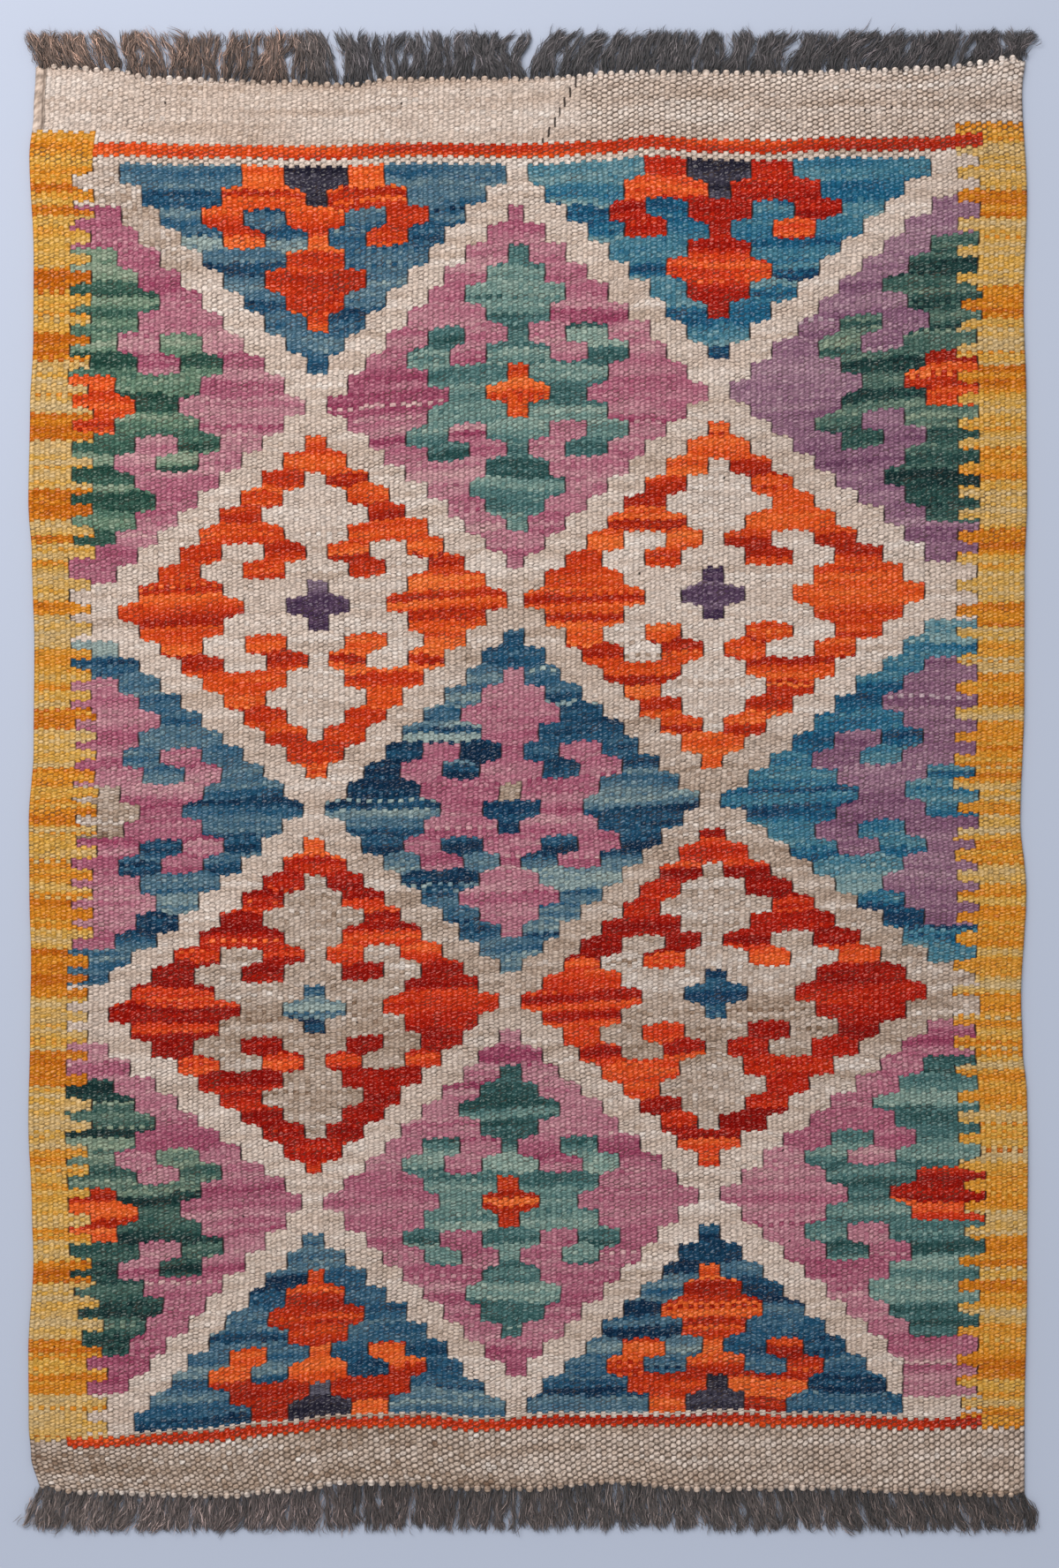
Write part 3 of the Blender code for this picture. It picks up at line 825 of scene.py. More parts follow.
END_STRETCH = 0.9             # passes of the weave's pattern over that length
END_BEAD_SIZE = (2.1, 1.9, 1.5)       # half of a round end bead's width, length and height, in mm
END_BEAD_HEIGHT = 2.0 * MM            # of its middle
END_BEAD_LOOSENESS = 0.3
END_BEAD_SIZES, END_BEAD_OUT, END_BEAD_TONES = (0.85, 1.15), (0.3, 0.8), (1.0, 1.12)
END_BEAD_WEAVE = (0.45, 0.8)          # warps and passes of the weave's pattern to half a bead
END_BEAD_SIDES, END_BEAD_RINGS = 10, 6
SHARP_ANGLE = math.radians(75)
UNDERSIDE_DIP = 0.35 * MM
EDGE_UNDERCUT = 1.0 * MM
EDGE_LEAST = 0.4 * MM         # the least thickness that an edge thins to
ROW_PULL = 1.7 * MM           # how far a slit's end is drawn towards its own colour
LEAST_PULL = 0.4              # of that, the least that it is drawn
WARP_WANDER = 0.9 * MM        # of the warps, side to side
WEFT_WANDER = 1.2 * MM        # of the wefts, along the rug
STEADY_EDGE = 3               # warps or passes at an edge over which neither wanders
SELVEDGE_RIBS = (             # inset and rise in mm: the outer cord, then doubled warps
    (0.0, -1.5), (1.6, 0.35), (3.2, 0.25), (4.8, -0.4), (6.4, 0.1), (8.0, -0.15), (9.6, 0.1),
)
COCKLES = (                   # rise in mm, waves across, waves along and phase
    (0.16, 1.7, 2.3, 0.4), (0.12, 3.1, 4.2, 2.1), (0.08, 5.3, 7.4, 4.4),
)
# Holes where a bead has gone; the material paints shadow in them as in a slit.
DARK_PITS = (                 # pixels across and down the photograph
    (825, 545), (800, 645), (745, 830), (980, 128), (1015, 125), (725, 650), (888, 1307),
    (900, 1405), (278, 1378), (410, 1158), (390, 1622), (65, 1525), (190, 118), (460, 118),
)
LAZY_LINE = ((706, 97.2), (732, 103.6))   # pass and warp of the slanting slit up the far band
SLIT_CORNERS = 0.35           # how open a slit is at the corners of its cell
SLIT_ROUNDNESS = 0.7          # the power with which it opens between them
SLIT_LEAST, SLIT_SPREAD = 0.45, 0.75
CORD_SLIT = 0.45              # how far the cord parts from the band
CORD_EASE = 0.4               # how far the cord's smoothness goes on past it, in warps
FAR_BAND_LOOSENESS = (        # X in mm, then how loosely the band is beaten there
    (-300, 0.15), (-240, 0.45), (-180, 0.15), (-110, 0.40), (15, 0.2), (40, 0.8), (300, 0.75),
)
NEAR_BAND_LOOSENESS = 0.85
LINE_LOOSENESS = 0.6
FIELD_LOOSENESS, FIELD_SPREAD = 0.34, 0.2
BEAD_SPREAD = 0.6             # how far the looseness strays from bead to bead
TIGHT_BOLDNESS, LOOSE_BOLDNESS = 0.8, 0.6     # relief of a tight weave, and more where loose
SELVEDGE_REACH = 9            # in mm, how far in the selvedge's ribs go
SELVEDGE_BEADS = 0.3          # of the beads' relief, on those ribs

# Slits open where two colours meet on neighbouring warps.
slit = np.zeros((PASSES + 1, WARPS + 1))
meets = (bead_patch[:, 1:] != bead_patch[:, :-1]) & in_field[:, 1:]
up_row = (pass_of - FIELD_NEAR + 0.5) / PASSES_PER_ROW % 1
gaping = SLIT_CORNERS + (1 - SLIT_CORNERS) * np.sin(math.pi * up_row) ** SLIT_ROUNDNESS
unevenly = SLIT_LEAST + SLIT_SPREAD * smooth_noise(9, warp_of, pass_of, 4, PASSES_PER_ROW)
slit[:, 1:-1] = meets * np.clip((gaping * unevenly)[:, 1:], 0, 1)

# The far band has a slanting slit and a cord at its left side, and a few beads leave a pit.
for number in range(FAR_LINE_TOP, PASSES):
    slit[number, round(float(np.interp(number, *zip(*LAZY_LINE))))] = 1
slit[GOLD_FAR[0] + 1:, CORD_WARPS] = CORD_SLIT
for across, down in DARK_PITS:
    x = (across - PHOTO_CENTRE) * PHOTO_PIXEL
    near = np.hypot(bead_x - x, photo_height * PHOTO_PIXEL - down * PHOTO_PIXEL)
    slit[np.unravel_index(near.argmin(), near.shape)] = 1

# Wools pull on each other at the corners of the cells, so the steps slope a little.
padded_wool = np.pad(cell_wool, 1, mode="edge")
round_corner = [padded_wool[:-1, :-1], padded_wool[:-1, 1:], padded_wool[1:, 1:], padded_wool[1:, :-1]]
corner_pull = np.zeros(round_corner[0].shape)
for towards in (1, 1, -1, -1):        # a cell of its own colour: two above the corner, two below
    own, *others = round_corner
    alone = (own != others[0]) & (others[0] == others[1]) & (others[1] == others[2])
    corner_pull += towards * alone
    round_corner = others + [own]
corner_pull *= LEAST_PULL + np.random.default_rng(10).random(corner_pull.shape)


def cockle(x, y):
    """Slow swells that uneven weft tension leaves in the cloth."""
    return MM * sum(
        rise * np.sin(math.tau * (across * x / RUG_WIDTH + along * y / CLOTH_LENGTH) + phase)
        for rise, across, along, phase in COCKLES
    )


def pulled(warp, weft):
    """How far the wefts are pulled along the rug at places in warps and wefts."""
    row = np.clip(pattern_row(weft) + 0.5, 0, ROWS - 0.001)
    counted = pattern_count(row - 0.5, lay_x(warp, lay_y(warp, weft)))[0]
    column = np.clip(counted / WARPS_PER_CELL - BORDER_CELLS, 0, FIELD_COLUMNS - 0.001)
    up = row.astype(int)
    left = column.astype(int)
    share_y = row - up
    share_x = column - left
    over = corner_pull[up, left] * (1 - share_x) + corner_pull[up, left + 1] * share_x
    under = corner_pull[up + 1, left] * (1 - share_x) + corner_pull[up + 1, left + 1] * share_x
    inside = (weft > FIELD_NEAR) & (weft < FIELD_FAR)
    return ROW_PULL * (over * (1 - share_y) + under * share_y) * inside


def weave_places(warp, weft):
    """X and Y of places in the cloth, with the small wander that hand weaving leaves."""
    y = lay_y(warp, weft)
    x = lay_x(warp, y)
    inner = np.clip(np.minimum(warp, WARPS - warp) / STEADY_EDGE, 0, 1)
    inner_y = np.clip(np.minimum(weft, PASSES - weft) / STEADY_EDGE, 0, 1)
    x = x + (smooth_noise(11, warp, weft, 1.5, 40) - 0.5) * WARP_WANDER * inner
    x = x + (smooth_noise(16, warp, weft, 1, 1.7) - 0.5) * UNEVEN_BEADS * inner
    y = y + (smooth_noise(12, warp, weft, 10, 14) - 0.5) * WEFT_WANDER * inner_y
    y = y + (smooth_noise(17, warp, weft, 1, 2.3) - 0.5) * UNEVEN_BEADS * inner_y
    return x, y + pulled(warp, weft)


def openness(warp, weft):
    """How far the beads stand apart: most in the end bands and lines."""
    band = (weft <= NEAR_BAND_TOP) | (weft >= FAR_LINE_TOP)
    line = (weft < FIELD_NEAR) | (weft > FIELD_FAR)
    x = (warp / WARPS - 0.5) * RUG_WIDTH / MM
    in_band = np.where(weft > FIELD_FAR, eased(FAR_BAND_LOOSENESS, x), NEAR_BAND_LOOSENESS)
    elsewhere = FIELD_LOOSENESS + FIELD_SPREAD * smooth_noise(13, warp, weft, 14, 30)
    apart = np.select([band, line], [in_band, LINE_LOOSENESS], elsewhere)
    apart = apart + (smooth_noise(14, warp, weft, 1, 2) - 0.5) * BEAD_SPREAD
    cord = np.clip(CORD_WARPS + CORD_EASE - warp, 0, 1) * (weft > GOLD_FAR[0])
    return np.clip(apart, 0, 1) * (1 - cord)


def top_rise(warp, weft):
    """Height of the upper face over the cloth's thickness."""
    crest = np.round(warp * 2).astype(int) % 2 == 1
    here = np.floor(warp).astype(int) + np.round(weft).astype(int)
    bead = np.where(here % 2 == 0, BEAD_RISE, BEAD_DIP)
    boldness = TIGHT_BOLDNESS + LOOSE_BOLDNESS * openness(warp, weft)
    valley = np.round(warp).astype(int)
    dip = RIB_DIP + SLIT_DIP * slit[np.round(weft).astype(int), valley]
    rise = boldness * np.where(crest, RIB_RISE + bead, dip)
    inset = np.minimum(warp, WARPS - warp) * RUG_WIDTH / WARPS / MM
    ribs = eased(SELVEDGE_RIBS, inset) * MM + bead * crest * SELVEDGE_BEADS
    rise = np.where(inset < SELVEDGE_REACH, ribs, rise)
    from_end = np.minimum(weft, PASSES - weft)
    return rise + np.select([from_end == 0, from_end == 1], END_LIP, 0.0)


def points_of(mesh):
    """The points of a mesh, a row of X, Y and Z for each."""
    points = np.empty(len(mesh.vertices) * 3, np.float32)
    mesh.vertices.foreach_get("co", points)
    return points.reshape(-1, 3)


def corner_points(mesh):
    """The number of the point at each corner of a mesh's faces."""
    numbers = np.empty(len(mesh.loops), np.int32)
    mesh.loops.foreach_get("vertex_index", numbers)
    return numbers


def store(items, name, values):
    """Give each point, face or corner of a mesh its own value."""
    items.foreach_set(name, values.astype(np.float32).ravel())


def join_mesh(mesh, added):
    """Put a second mesh into the first."""
    bm = bmesh.new()
    bm.from_mesh(mesh)
    bm.from_mesh(added)
    bm.to_mesh(mesh)
    bm.free()
    bpy.data.meshes.remove(added)


def place_cloth(mesh):
    """Move a stretch from its plan of warps and wefts to its place, and return the plan."""
    plan = points_of(mesh).astype(float)
    warp = np.round(plan[:, 0] * 2) / 2
    weft = np.round(plan[:, 1])
    upper = plan[:, 2] > 0.5
    x, y = weave_places(warp, weft)
    top = CLOTH_THICKNESS + top_rise(warp, weft)
    edge = (warp == 0) | (warp == WARPS) | (weft == 0) | (weft == PASSES)
    crest = np.round(warp * 2).astype(int) % 2 == 1
    under = np.where(edge, EDGE_UNDERCUT, np.where(crest, 0.0, UNDERSIDE_DIP))
    z = np.where(upper, np.maximum(top + cockle(x, y), under + EDGE_LEAST), under)

    # Every second bead of the last pass stands out, so an end is scalloped.
    holding = crest & (np.floor(warp) % 2 == 0)
    out = np.select([holding, crest], END_SCALLOP[:2], END_SCALLOP[2])
    out = out * ((weft == PASSES) * 1.0 - (weft == 0))
    y = y + out * END_BEAD
    weft = weft + out * END_STRETCH
    store(mesh.vertices, "co", np.stack([x, y, z], 1))
    return warp, weft, upper


CORD_BEADS = (0.5, 0.3)       # beads of the cord to a warp across and to a pass along
CORD_START = (0.2, 0.5)
BAKE_LEFT, BAKE_WIDTH = 0.004, 0.992
BAKE_TOP, BAKE_HALF, BAKE_NEXT_HALF = 0.24, 0.37, 0.38
BAKE_UNDER, BAKE_UNDER_HEIGHT = 0.08, 0.15
BAKE_SIDES, BAKE_ENDS = 0.04, 0.002
BAKE_WALL, BAKE_NEXT_WALL = 0.012, 0.018


def colour_cloth(mesh, warp, weft, upper, start, end):
    """Give each face the colour of its bead, and lay out its maps."""
    count = len(mesh.polygons)
    first = np.empty(count, np.int32)
    corners = np.empty(count, np.int32)
    mesh.polygons.foreach_get("loop_start", first)
    mesh.polygons.foreach_get("loop_total", corners)
    vertex = corner_points(mesh)
    face = np.repeat(np.arange(count), corners)
    middle_warp = np.add.reduceat(warp[vertex], first) / corners
    middle_weft = np.add.reduceat(weft[vertex], first) / corners
    height = np.add.reduceat(upper[vertex].astype(float), first) / corners

    on_warp = np.clip(np.floor(middle_warp).astype(int), 0, WARPS - 1)
    gap = np.clip(np.floor(middle_weft).astype(int), 0, PASSES - 1)
    on_pass = gap + (on_warp + gap) % 2
    colours = np.ones((count, 4))
    colours[:, :3] = bead_colour[on_pass, on_warp]
    # The alpha carries how dark the painted shadow in a slit is.
    colours[:, 3] = slit[gap, np.round(middle_warp).astype(int)] * (height == 1)
    yarn = mesh.attributes.new("yarn", "FLOAT_COLOR", "FACE")
    store(yarn.data, "color", colours)
    apart = mesh.attributes.new("apart", "FLOAT", "POINT")
    store(apart.data, "value", openness(warp, weft))

    # The weave's map counts warps across and passes along.
    weave = mesh.uv_layers.new(name="weave")
    counted = np.stack([warp[vertex], weft[vertex]], 1)
    cord = ((middle_warp < CORD_WARPS) & (middle_weft > GOLD_FAR[0] + 1))[face]
    counted[cord] = counted[cord] * CORD_BEADS + CORD_START
    store(weave.data, "uv", counted)

    # The bake's map: the left and right half of the top, the underside, then the four walls.
    half = (middle_warp > WARPS / 2).astype(float)
    along = np.clip((weft[vertex] - start) / (end - start), 0, 1)
    across = warp[vertex] / WARPS
    level = upper[vertex].astype(float)
    on_side = (np.abs(middle_warp - WARPS / 2) > WARPS / 2 - 0.01)[face]
    on_top = (height == 1)[face]
    under = (height == 0)[face]
    far_wall = (middle_weft > (start + end) / 2)[face]
    u = np.where(on_top, across * 2 - half[face], np.where(on_side, along, across))
    top = BAKE_TOP + half[face] * BAKE_NEXT_HALF + along * BAKE_HALF
    sides = BAKE_SIDES + level * BAKE_WALL + half[face] * BAKE_NEXT_WALL
    ends = BAKE_ENDS + level * BAKE_WALL + far_wall * BAKE_NEXT_WALL
    beneath = BAKE_UNDER + along * BAKE_UNDER_HEIGHT
    v = np.select([on_top, under, on_side], [top, beneath, sides], ends)
    bake = mesh.uv_layers.new(name="OFBake")
    store(bake.data, "uv", np.stack([BAKE_LEFT + u * BAKE_WIDTH, v], 1))


BEAD_SLANT = 0.10             # of a pass, over half a warp
BEAD_REACH = 1.28             # half a bead's width, in half warps
BEAD_WANDER = 0.45            # of a bead, how far its outline strays
WANDER_SCALE = 0.9
OPEN_FROM, OPEN_TO = 0.35, 0.90       # looseness at which the beads begin to part, and are apart
OPEN_NARROWING, OPEN_SHORTENING = 0.10, 0.32      # how much smaller they are then
FIBRES_TO_A_WARP, FIBRE_SLANT, FIBRE_STRAY = 0.9, -0.35, 0.37
FIBRE_SCALE, FIBRE_DETAIL = 1.7, 3.0
SOIL_SCALE = 9.0
SOIL = (0.86, 0.16)           # the cloth's darkest places, and how much paler the palest are
# Painted shade: a bead is darker towards its foot and paler on its top.
BEAD_SHADE = (0.10, 0.50)     # how much darker a bead is at its foot, and more where loose
MIDDLE_SWELL = 0.52           # a bead's height where it has its wool's own colour
# Painted shade in the grooves beside each warp, paler on its crest.
RIB_CREST, RIB_SHADE, OPEN_RIB_SHADE = 1.08, -0.28, 0.20
# Painted shade in the hollows between the beads.
HOLLOW_TOP, HOLLOW_SHADE, OPEN_HOLLOW_SHADE = 1.02, -0.20, -0.10
HOLLOW_SWELLS = (0.0, 0.42)   # a bead's heights between which a hollow ends
STREAK_DARK, STREAK_RISE = 0.62, 0.80
STREAK_FIBRES = (0.30, 0.68)  # greys of the fibre noise between which the streaks rise
# A painted highlight where single fibres shine on a bead's crest.
GLINT = 0.26                  # how pale single fibres shine on a bead
GLINT_FIBRES, GLINT_SWELLS = (0.53, 0.64), (0.2, 0.8)
# The warps' brown shows in the pits, darkened further as painted shade.
PIT = 0.75                    # how far the warps show through where the beads stand apart
PIT_SWELLS = (0.0, 0.30)
# A painted shadow in the slits and pits.
SLIT_DEPTH = 0.9
SLIT_SIDES = (0.42, 0.82)     # of half a warp, where a slit's dark begins and is full
WEFT_ROUGHNESS = (0.80, 0.16)
FIBRE_RELIEF = 0.35           # of a bead's own
WEAVE_RELIEF = (0.3, 0.7)     # of a tight weave, and more where loose
RELIEF_DEPTH = 0.4 * MM
# The colour of the painted glint.
PAINTED_GLINT_COLOUR = (0.58, 0.52, 0.45, 1)
# The warps' brown, darkened further as painted shade in the pits.
WARP_BROWN_AND_PIT_SHADE = (0.095, 0.062, 0.043, 1)
# The painted shadow in a slit.
SLIT_PAINTED_SHADOW = (0.020, 0.014, 0.012, 1)


def attribute(tree, name):
    """The outputs of a node that reads one of the piece's attributes."""
    node = tree.nodes.new("ShaderNodeAttribute")
    node.attribute_name = name
    return node.outputs


def own_map(tree, name):
    """The piece's own UV map of this name."""
    node = tree.nodes.new("ShaderNodeUVMap")
    node.uv_map = name
    return node.outputs["UV"]


def product(tree, first, *others):
    """The product of sockets and plain numbers."""
    for value in others:
        first = worked(tree, "MULTIPLY", first, value)
    return first


def blended(tree, factor, first, second):
    """A mix of two colours, each a socket or a plain colour."""
    node = tree.nodes.new("ShaderNodeMix")
    node.data_type = "RGBA"
    feed(tree, node.inputs["Factor"], factor)
    feed(tree, node.inputs[6], first)
    feed(tree, node.inputs[7], second)
    return node.outputs[2]


def add_relief(tree, shader, height, strength, distance):
    """Fine relief in a shader's normal, from a grey height."""
    bump = tree.nodes.new("ShaderNodeBump")
    feed(tree, bump.inputs["Height"], height)
    feed(tree, bump.inputs["Strength"], strength)
    feed(tree, bump.inputs["Distance"], distance)
    tree.links.new(bump.outputs["Normal"], shader.inputs["Normal"])


wool_wefts, tree, shader = new_material("wool_wefts", 0.9)
shader.inputs["Sheen Weight"].default_value = 0.04
shader.inputs["Sheen Roughness"].default_value = 0.5
shader.inputs["Specular IOR Level"].default_value = 0.03
yarn = attribute(tree, "yarn")
loose = attribute(tree, "apart")["Fac"]
open_weave = eased_step(tree, loose, OPEN_FROM, OPEN_TO)
narrowing = line_of(tree, open_weave, OPEN_NARROWING, BEAD_REACH ** -2)
shortening = line_of(tree, open_weave, OPEN_SHORTENING, 1.0)

# The map counts warps and passes. Across one warp a bead runs from -1 to 1.
weave = own_map(tree, "weave")
counted = tree.nodes.new("ShaderNodeSeparateXYZ")
tree.links.new(weave, counted.inputs["Vector"])
warp_count, pass_count = counted.outputs["X"], counted.outputs["Y"]
warp_number = worked(tree, "FLOOR", warp_count)
across = line_of(tree, worked(tree, "FRACT", warp_count), 2.0, -1.0)
pair = product(tree, worked(tree, "SUBTRACT", pass_count, warp_number), 0.5)
stray = worked(tree, "SUBTRACT", noise(tree, weave, WANDER_SCALE, 1.0), 0.5)
pair = line_of(tree, stray, BEAD_WANDER, pair)


def bead_swell(tree, across, pair, half_shift):
    """A bead's height: an oval that slants up to the right, smaller where the weave is open."""
    slanted = line_of(tree, across, -BEAD_SLANT / 2, half_shift)
    along = worked(tree, "FRACT", worked(tree, "ADD", pair, slanted))
    along = line_of(tree, along, 2.0, -1.0)
    wide = product(tree, across, across, narrowing)
    long = product(tree, along, along, shortening)
    return worked(tree, "SUBTRACT", worked(tree, "SUBTRACT", 1.0, wide), long)


# A bead and the one that overlaps it from the warp beside it.
own = bead_swell(tree, across, pair, 0.5)
beside = line_of(tree, worked(tree, "SIGN", across), -2.0, across)
other = bead_swell(tree, beside, pair, 1.0)
swell = worked(tree, "MAXIMUM", worked(tree, "MAXIMUM", own, other), 0.0)

# Fibres run along each weft with the slant of its spin, and each warp has its own.
fibre_place = tree.nodes.new("ShaderNodeCombineXYZ")
feed(tree, fibre_place.inputs["X"], product(tree, warp_count, FIBRES_TO_A_WARP))
feed(tree, fibre_place.inputs["Y"], line_of(tree, across, FIBRE_SLANT, pass_count))
feed(tree, fibre_place.inputs["Z"], product(tree, warp_number, FIBRE_STRAY))
fibre = noise(tree, fibre_place.outputs[0], FIBRE_SCALE, FIBRE_DETAIL)
places = tree.nodes.new("ShaderNodeTexCoord").outputs["Object"]
soiled = line_of(tree, noise(tree, places, SOIL_SCALE), SOIL[1], SOIL[0])

# The wool's colour has painted shade at a bead's foot, beside the ribs and in the hollows, and is
# darker by streaks.
depth = line_of(tree, loose, BEAD_SHADE[1], BEAD_SHADE[0])
painted_bead_shade = line_of(tree, worked(tree, "SUBTRACT", swell, MIDDLE_SWELL), depth, 1.0)
ribbed = line_of(tree, loose, OPEN_RIB_SHADE, RIB_SHADE)
painted_rib_shade = line_of(tree, product(tree, across, across), ribbed, RIB_CREST)
fallen = worked(tree, "SUBTRACT", 1.0, eased_step(tree, swell, *HOLLOW_SWELLS))
painted_hollow_shade = product(tree, fallen, line_of(tree, open_weave, OPEN_HOLLOW_SHADE, HOLLOW_SHADE))
painted_hollow_shade = worked(tree, "ADD", painted_hollow_shade, HOLLOW_TOP)
streaky = line_of(tree, eased_step(tree, fibre, *STREAK_FIBRES), STREAK_RISE, STREAK_DARK)
lit = product(tree, streaky, product(tree, painted_bead_shade, painted_rib_shade, painted_hollow_shade), soiled)
colour = tinted(tree, yarn["Color"], lit)

# Painted glints on single fibres, the warps' brown and painted shade in pits, painted shadow in slits.
on_crest = eased_step(tree, swell, *GLINT_SWELLS)
painted_glint = product(tree, eased_step(tree, fibre, *GLINT_FIBRES), on_crest, GLINT)
colour = blended(tree, painted_glint, colour, PAINTED_GLINT_COLOUR)
pit = worked(tree, "SUBTRACT", 1.0, eased_step(tree, swell, *PIT_SWELLS))
colour = blended(tree, product(tree, pit, open_weave, PIT), colour, WARP_BROWN_AND_PIT_SHADE)
near_slit = eased_step(tree, worked(tree, "ABSOLUTE", across), *SLIT_SIDES)
colour = blended(tree, product(tree, near_slit, yarn["Alpha"], SLIT_DEPTH), colour, SLIT_PAINTED_SHADOW)
tree.links.new(colour, shader.inputs["Base Color"])
dull = line_of(tree, fibre, WEFT_ROUGHNESS[1], WEFT_ROUGHNESS[0])
tree.links.new(dull, shader.inputs["Roughness"])
raised = line_of(tree, fibre, FIBRE_RELIEF, swell)
relief = line_of(tree, loose, WEAVE_RELIEF[1], WEAVE_RELIEF[0])
add_relief(tree, shader, raised, relief, RELIEF_DEPTH)


def end_beads(end):
    """The round beads in which every second warp holds the last pass of an end."""
    outward = 1 if end == PASSES else -1
    warps = np.arange(3, WARPS - 2, 2) + 0.5      # every second one, clear of the selvedges
    rng = np.random.default_rng(18 + outward)
    x, y = weave_places(warps, np.full(len(warps), float(end)))
    bm = bmesh.new()
    yarn = bm.faces.layers.float_color.new("yarn")
    apart = bm.verts.layers.float.new("apart")
    weave = bm.loops.layers.uv.new("weave")
    bake = bm.loops.layers.uv.new("OFBake")
    for number, warp in enumerate(warps):
        size = Vector(END_BEAD_SIZE) * rng.uniform(*END_BEAD_SIZES) * MM
        out = END_BEAD * rng.uniform(*END_BEAD_OUT)
        middle = Vector((x[number], y[number] + outward * out, END_BEAD_HEIGHT))
        placed = Matrix.Translation(middle) @ Matrix.Diagonal((*size, 1))
        added = bmesh.ops.create_uvsphere(
            bm, u_segments=END_BEAD_SIDES, v_segments=END_BEAD_RINGS, radius=1, matrix=placed
        )
        colour = bead_colour[min(end, PASSES - 1), int(warp)] * rng.uniform(*END_BEAD_TONES)
        on_pass = end + (int(warp) + end + 1) % 2
        for vert in added["verts"]:
            vert[apart] = END_BEAD_LOOSENESS
            for loop in vert.link_loops:
                across = (vert.co.x - middle.x) / size.x * END_BEAD_WEAVE[0]
                along = (vert.co.y - middle.y) / size.y * END_BEAD_WEAVE[1]
                loop[weave].uv = (warp + across, on_pass + along)
                loop[bake].uv = (BAKE_LEFT + warp / WARPS * 0.99, BAKE_TOP - 0.004)
                loop.face[yarn] = (*colour, 0)
    mesh = bpy.data.meshes.new("end_beads")
    bm.to_mesh(mesh)
    bm.free()
    return mesh


for stretch, (start, end) in enumerate(zip(STRETCH_ENDS, STRETCH_ENDS[1:])):
    bm = bmesh.new()
    rows = (end - start) // UNDERSIDE_STEP
    bmesh.ops.create_grid(bm, x_segments=WARPS * 2, y_segments=rows, size=1)
    for vert in bm.verts:
        vert.co.x = (vert.co.x + 1) / 2 * WARPS
        vert.co.y = start + (vert.co.y + 1) / 2 * (end - start)
    grown = bmesh.ops.extrude_face_region(bm, geom=bm.faces[:], use_keep_orig=True)["geom"]
    upper = [part for part in grown if isinstance(part, bmesh.types.BMVert)]
    bmesh.ops.translate(bm, verts=upper, vec=(0, 0, 1))
    bmesh.ops.recalc_face_normals(bm, faces=bm.faces)
    along_warps = [
        edge for edge in bm.edges
        if edge.verts[0].co.z > 0.5 and edge.verts[1].co.z > 0.5
        and abs(edge.verts[0].co.y - edge.verts[1].co.y) > 1
    ]
    bmesh.ops.subdivide_edges(bm, edges=along_warps, cuts=UNDERSIDE_STEP - 1)
    mesh = bpy.data.meshes.new(f"cloth_{stretch + 1}")
    bm.to_mesh(mesh)
    bm.free()
    warp, weft, upper = place_cloth(mesh)
    colour_cloth(mesh, warp, weft, upper, start, end)
    if start == 0 or end == PASSES:
        join_mesh(mesh, end_beads(end if end == PASSES else start))
    mesh.update()
    mesh.shade_smooth()
    mesh.set_sharp_from_angle(angle=SHARP_ANGLE)
    mesh.materials.append(wool_wefts)
    cloth = bpy.data.objects.new(mesh.name, mesh)
    bpy.context.scene.collection.objects.link(cloth)
    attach(cloth, "root")
    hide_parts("cloth")
    ends = lay_y(np.full(2, WARPS / 2), np.array([start, end], float))


# ---- Fringe ----------------------------------------------------------------------------
# The warps run on past the cloth as a fringe, trimmed to a line 450 mm from the middle.
# Each is two plies of brown and charcoal wool, so hairy that the plies hardly show.
RUG_LENGTH = 900 * MM
PLY_RADIUS = 0.70 * MM
PLY_SPREAD = (0.45 * MM, 1.0 * MM)     # of the plies from their strand's middle, root and tip
PLY_STEPS = 10
PLY_SIDES = 4
PLY_TURNS = 1.6
PLY_SLOWING = 0.25            # how much of its turning a ply has lost at its tip
PLY_FLATNESS = 0.6            # height of a strand's round of plies, of its width
PLY_TAPER = (14, 7, 0.6)      # how fast a ply swells from its root and thins to its tip, and a power
PLY_TURNS_SPREAD, PLY_RADIUS_SPREAD, PLY_TONE_SPREAD = 0.15, 0.12, 0.10
# Painted shade: the plies are darker towards the root.
PLY_PAINTED_SHADE = (0.4, 0.4)        # of the strand's colour at its root, and how much more at its tip
STRAND_HEIGHT = 1.2 * MM
STRAND_LIFT = 1.1 * MM        # how far a strand may arch over that
STRAND_STRAY = 0.12           # of a warp, how unevenly they leave the cloth
STRAND_TRIM = 0.16            # of its length, how much shorter one may be
STRAND_TONE_SPREAD = 0.16
LEAST_HEIGHT = 0.05 * MM      # of all the wool over the floor
ROOT_BURIED = 1.8 * MM        # how far a strand starts inside the cloth's end
ROOT_RISE = 0.3 * MM
LEAN_BEND = 1.25              # the power with which a strand comes to its lean
CLUMP_STEP = 0.75             # strands keep together in twos and threes
CLUMP_DRAW, CLUMP_BEND = 0.45, 3      # how far their tips draw together, and the power
SWAY = 1.5 * MM               # for each degree by which the leans are tousled
CURL, TOUSLED_CURL = 1.0, 0.13        # in mm, and more for each such degree
CURL_TURN, CURL_BEND = 7.5, 0.7
TIP_OVERHANG = 4 * MM         # how far past the straight edge of the rug a tip may reach
FIBRES_PER_STRAND = 60
FIBRE_RADIUS = 0.21 * MM
FIBRE_STEPS = 4
FIBRE_LENGTH = (5.0, 13.0)    # in mm
FIBRE_BEGINS = (0.82, 1.1)    # the last share of a strand where one begins, and a power
FIBRE_LIMIT = 1.06            # of a strand's length, where they end at the latest
FIBRE_OFF = 1.3 * MM          # from the middle of the strand
FIBRE_AWAY = (0.9, 1.7)       # in mm, how far the tips stray by the root, and more by the tip
FIBRE_BEND, FIBRE_ARC = 1.5 * MM, 3.6
